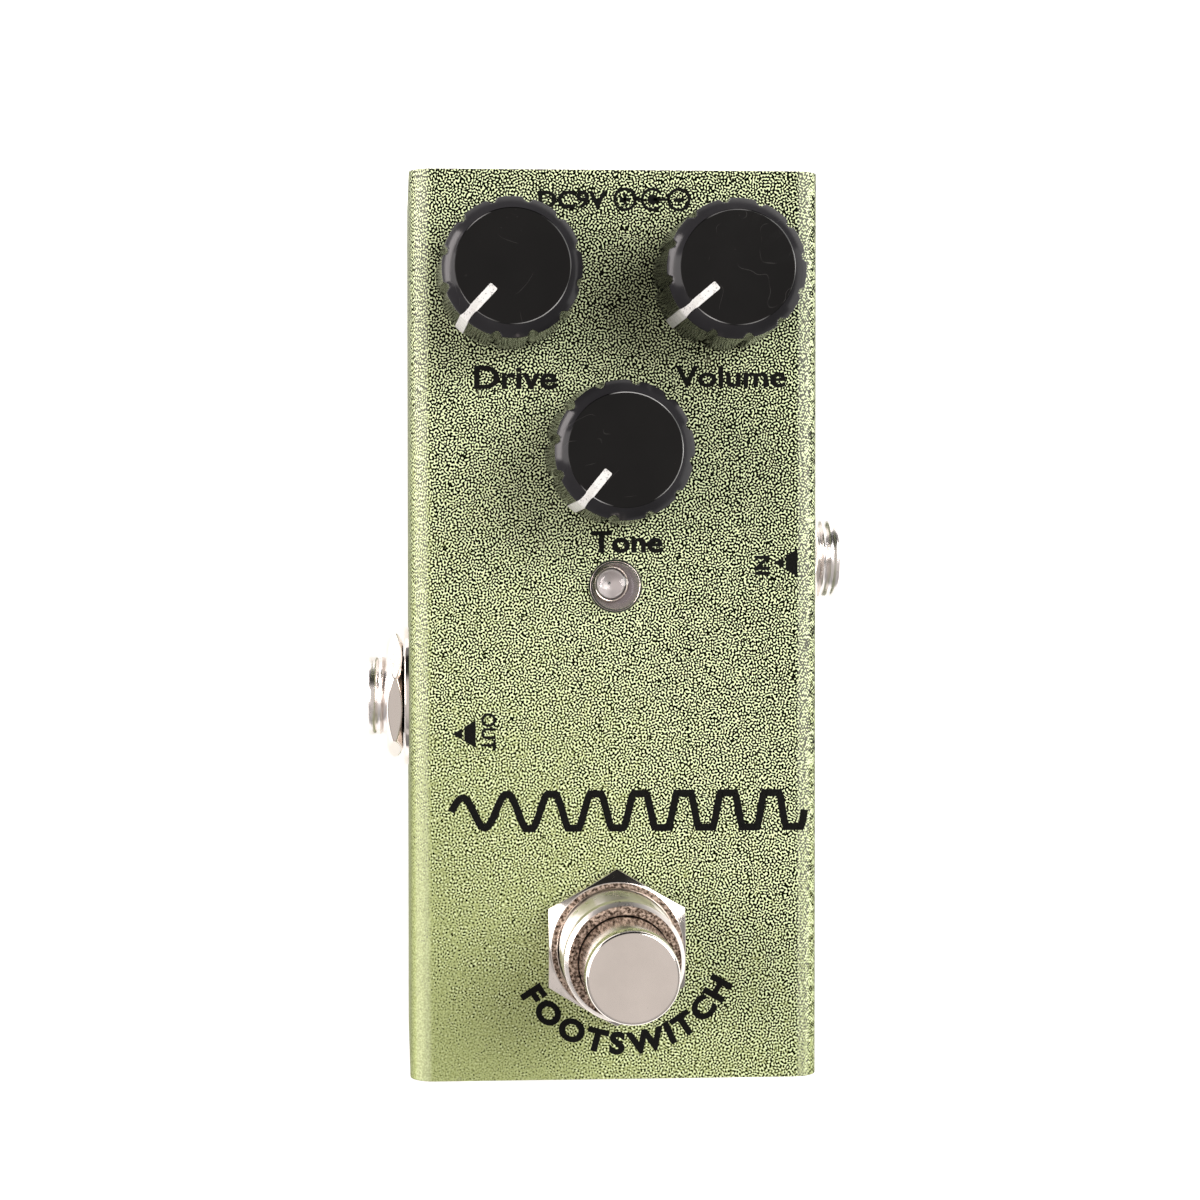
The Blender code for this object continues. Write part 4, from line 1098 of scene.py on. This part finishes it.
def fit_mesh(bm, width, height):
    """Scales a flat mesh to a width and height in metres and centres it."""
    low = Vector(map(min, zip(*(vert.co for vert in bm.verts))))
    high = Vector(map(max, zip(*(vert.co for vert in bm.verts))))
    size = high - low
    bmesh.ops.translate(bm, vec=-(low + high) / 2, verts=bm.verts)
    scale = (width / size.x, height / size.y, LABEL_THICKNESS / size.z)
    bmesh.ops.scale(bm, vec=scale, verts=bm.verts)


def label(name, text, x, y, width, height, weight, turn=0.0):
    """A printed word on the panel, its middle, width and height in millimetres."""
    bm = label_mesh(text, weight)
    fit_mesh(bm, width * MM, height * MM)
    place = (x * MM, y * MM, LABEL_Z)
    piece(name, bm, INK, "case", place, (0, 0, math.radians(turn)))


def stroke(name, points, width, closed=False):
    """A printed line of even width through points on the panel, in millimetres."""
    half = width * MM / 2
    path = [Vector((x * MM, y * MM)) for x, y in points]
    count = len(path)
    sides = []
    for index, here in enumerate(path):
        before = path[index - 1] if index or closed else here
        after = path[(index + 1) % count] if index < count - 1 or closed else here
        along_in = (here - before).normalized() if here != before else (after - here).normalized()
        along_out = (after - here).normalized() if after != here else along_in
        across = Vector((-(along_in + along_out).y, (along_in + along_out).x)).normalized()
        spread = half / max(0.35, across.dot(Vector((-along_in.y, along_in.x))))
        sides.append((here + across * spread, here - across * spread))
    top, low = LABEL_THICKNESS / 2, -LABEL_THICKNESS / 2
    rings = [[(a.x, a.y, top), (b.x, b.y, top), (b.x, b.y, low), (a.x, a.y, low)] for a, b in sides]
    piece(name, skin(rings, closed), INK, "case", (0, 0, LABEL_Z))


def arc_points(centre, radius, start, end, steps):
    points = []
    for step in range(steps + 1):
        angle = math.radians(start + (end - start) * step / steps)
        points.append((centre[0] + radius * math.cos(angle), centre[1] + radius * math.sin(angle)))
    return points


def arrow(name, tip, base, half, y):
    """A left-pointing arrowhead split by a narrow gap, in millimetres."""
    split = tip + 0.46 * (base - tip)
    gap = 0.22
    near, far = split - gap / 2, split + gap / 2
    slope = half / (base - tip)
    near_half, far_half = slope * (near - tip), slope * (far - tip)
    shapes = {
        "point": [(tip, y), (near, y - near_half), (near, y + near_half)],
        "tail": [(far, y - far_half), (base, y - half), (base, y + half), (far, y + far_half)],
    }
    top = LABEL_THICKNESS / 2
    for part, outline in shapes.items():
        rings = [[(x * MM, v * MM, z) for x, v in outline] for z in (top, -top)]
        piece(f"{name}_{part}", skin(rings), INK, "case", (0, 0, LABEL_Z))


def make_wave():
    """A printed wave that grows and flattens from left to right."""
    left, width, y, height, periods = -16.8, 36.3, -18.9, 1.75, 8
    points = []
    steps = periods * 24
    for step in range(steps + 1):
        share = step / steps
        gain = 0.75 + 2.0 * share
        swing = max(-1.0, min(1.0, gain * math.sin(math.tau * periods * share)))
        points.append((left + width * share, y + height * swing))
    stroke("label_wave", points, 0.74)


def make_polarity():
    """The barrel plug's polarity: centre to one ring, sleeve to the other."""
    y, radius, barrel_x = 43.5, 1.05, 3.8
    rings = {"plus": 0.99, "minus": 6.51}
    for name, x in rings.items():
        stroke(f"label_{name}_ring", arc_points((x, y), radius, 0, 354, 40), 0.3, closed=True)
        stroke(f"label_{name}_bar", [(x - 0.55, y), (x + 0.55, y)], 0.32)
    x = rings["plus"]
    stroke("label_plus_upright", [(x, y - 0.55), (x, y + 0.55)], 0.32)
    stroke("label_barrel", arc_points((barrel_x, y), radius, 42, 318, 30), 0.3)
    stroke("label_barrel_pin", arc_points((barrel_x, y), 0.28, 0, 350, 16), 0.5, closed=True)
    stroke("label_pin_lead", [(3.9, y), (5.5, y)], 0.3)
    stroke("label_sleeve_lead", [(2.0, y), (2.75, y)], 0.3)


def make_arc_label(text, centre, radius, start, end, height):
    """Capitals round the lower side of a circle with even gaps between them, read from the left."""
    letters = [label_mesh(letter, 0.07) for letter in text]
    widths = []
    for bm in letters:
        xs = [vert.co.x for vert in bm.verts]
        widths.append((max(xs) - min(xs)) * height)
    letters_length = sum(widths) - (widths[0] + widths[-1]) / 2
    gap = (math.radians(end - start) * radius - letters_length) / (len(text) - 1)
    edge = -widths[0] / 2
    for index, (bm, width) in enumerate(zip(letters, widths)):
        turn = math.radians(start) + (edge + width / 2) / radius
        edge += width + gap
        fit_mesh(bm, width * MM, height * MM)
        x, y = radius * MM * math.cos(turn), radius * MM * math.sin(turn)
        place = (centre[0] + x, centre[1] + y, LABEL_Z)
        piece(f"label_arc_{index}", bm, INK, "case", place, (0, 0, turn + QUARTER_TURN))


def make_labels():
    label("label_drive", "Drive", -10.19, 25.33, 8.45, 2.4, 0.035)
    label("label_volume", "Volume", 11.82, 25.5, 11.4, 2.2, 0.03)
    label("label_tone", "Tone", 1.19, 8.6, 7.38, 2.25, 0.04)
    label("label_power", "DC9V", -4.37, 43.42, 7.0, 1.85, 0.04)
    label("label_in", "IN", 15.1, 6.2, 2.0, 1.5, 0.05, 90)
    label("label_out", "OUT", -12.99, -10.75, 3.85, 1.5, 0.03, -90)
    arrow("label_in_arrow", 16.3, 18.75, 1.42, 6.45)
    arrow("label_out_arrow", -16.65, -14.3, 1.42, -10.95)
    make_polarity()
    make_wave()
    make_arc_label("FOOTSWITCH", (SWITCH.x + 0.9 * MM, SWITCH.y + 1.0 * MM), 11.1, 213, 330, 2.4)


set_stage()
make_cover()
for knob in KNOB_NAMES:
    make_knob(knob)
make_footswitch()
for socket, side in SOCKETS.items():
    make_side_socket(socket, side)
make_lamp()
make_labels()

# Materials of the CAD nodes that stay as they are
SLOT_MATERIALS = {
    "green_paint": PAINT,
    "zinc_sheet": ZINC,
    "knob_plastic": KNOB_BLACK,
    "nickel": WORN_NICKEL,
    "black_plastic": BLACK_MOULDING,
    "rubber": RUBBER,
    "board": BOARD,
    "clear_lens": RESIN,
    "contact_brass": BRASS,
    "spring_steel": SPRING_STEEL,
    "film_red": FILM_RED,
}
for part in frame["record"]["subparts"]:
    node = frame["nodes"][part["node"]]
    node.data.materials.clear()
    node.data.materials.append(SLOT_MATERIALS[part["material_slot"]])
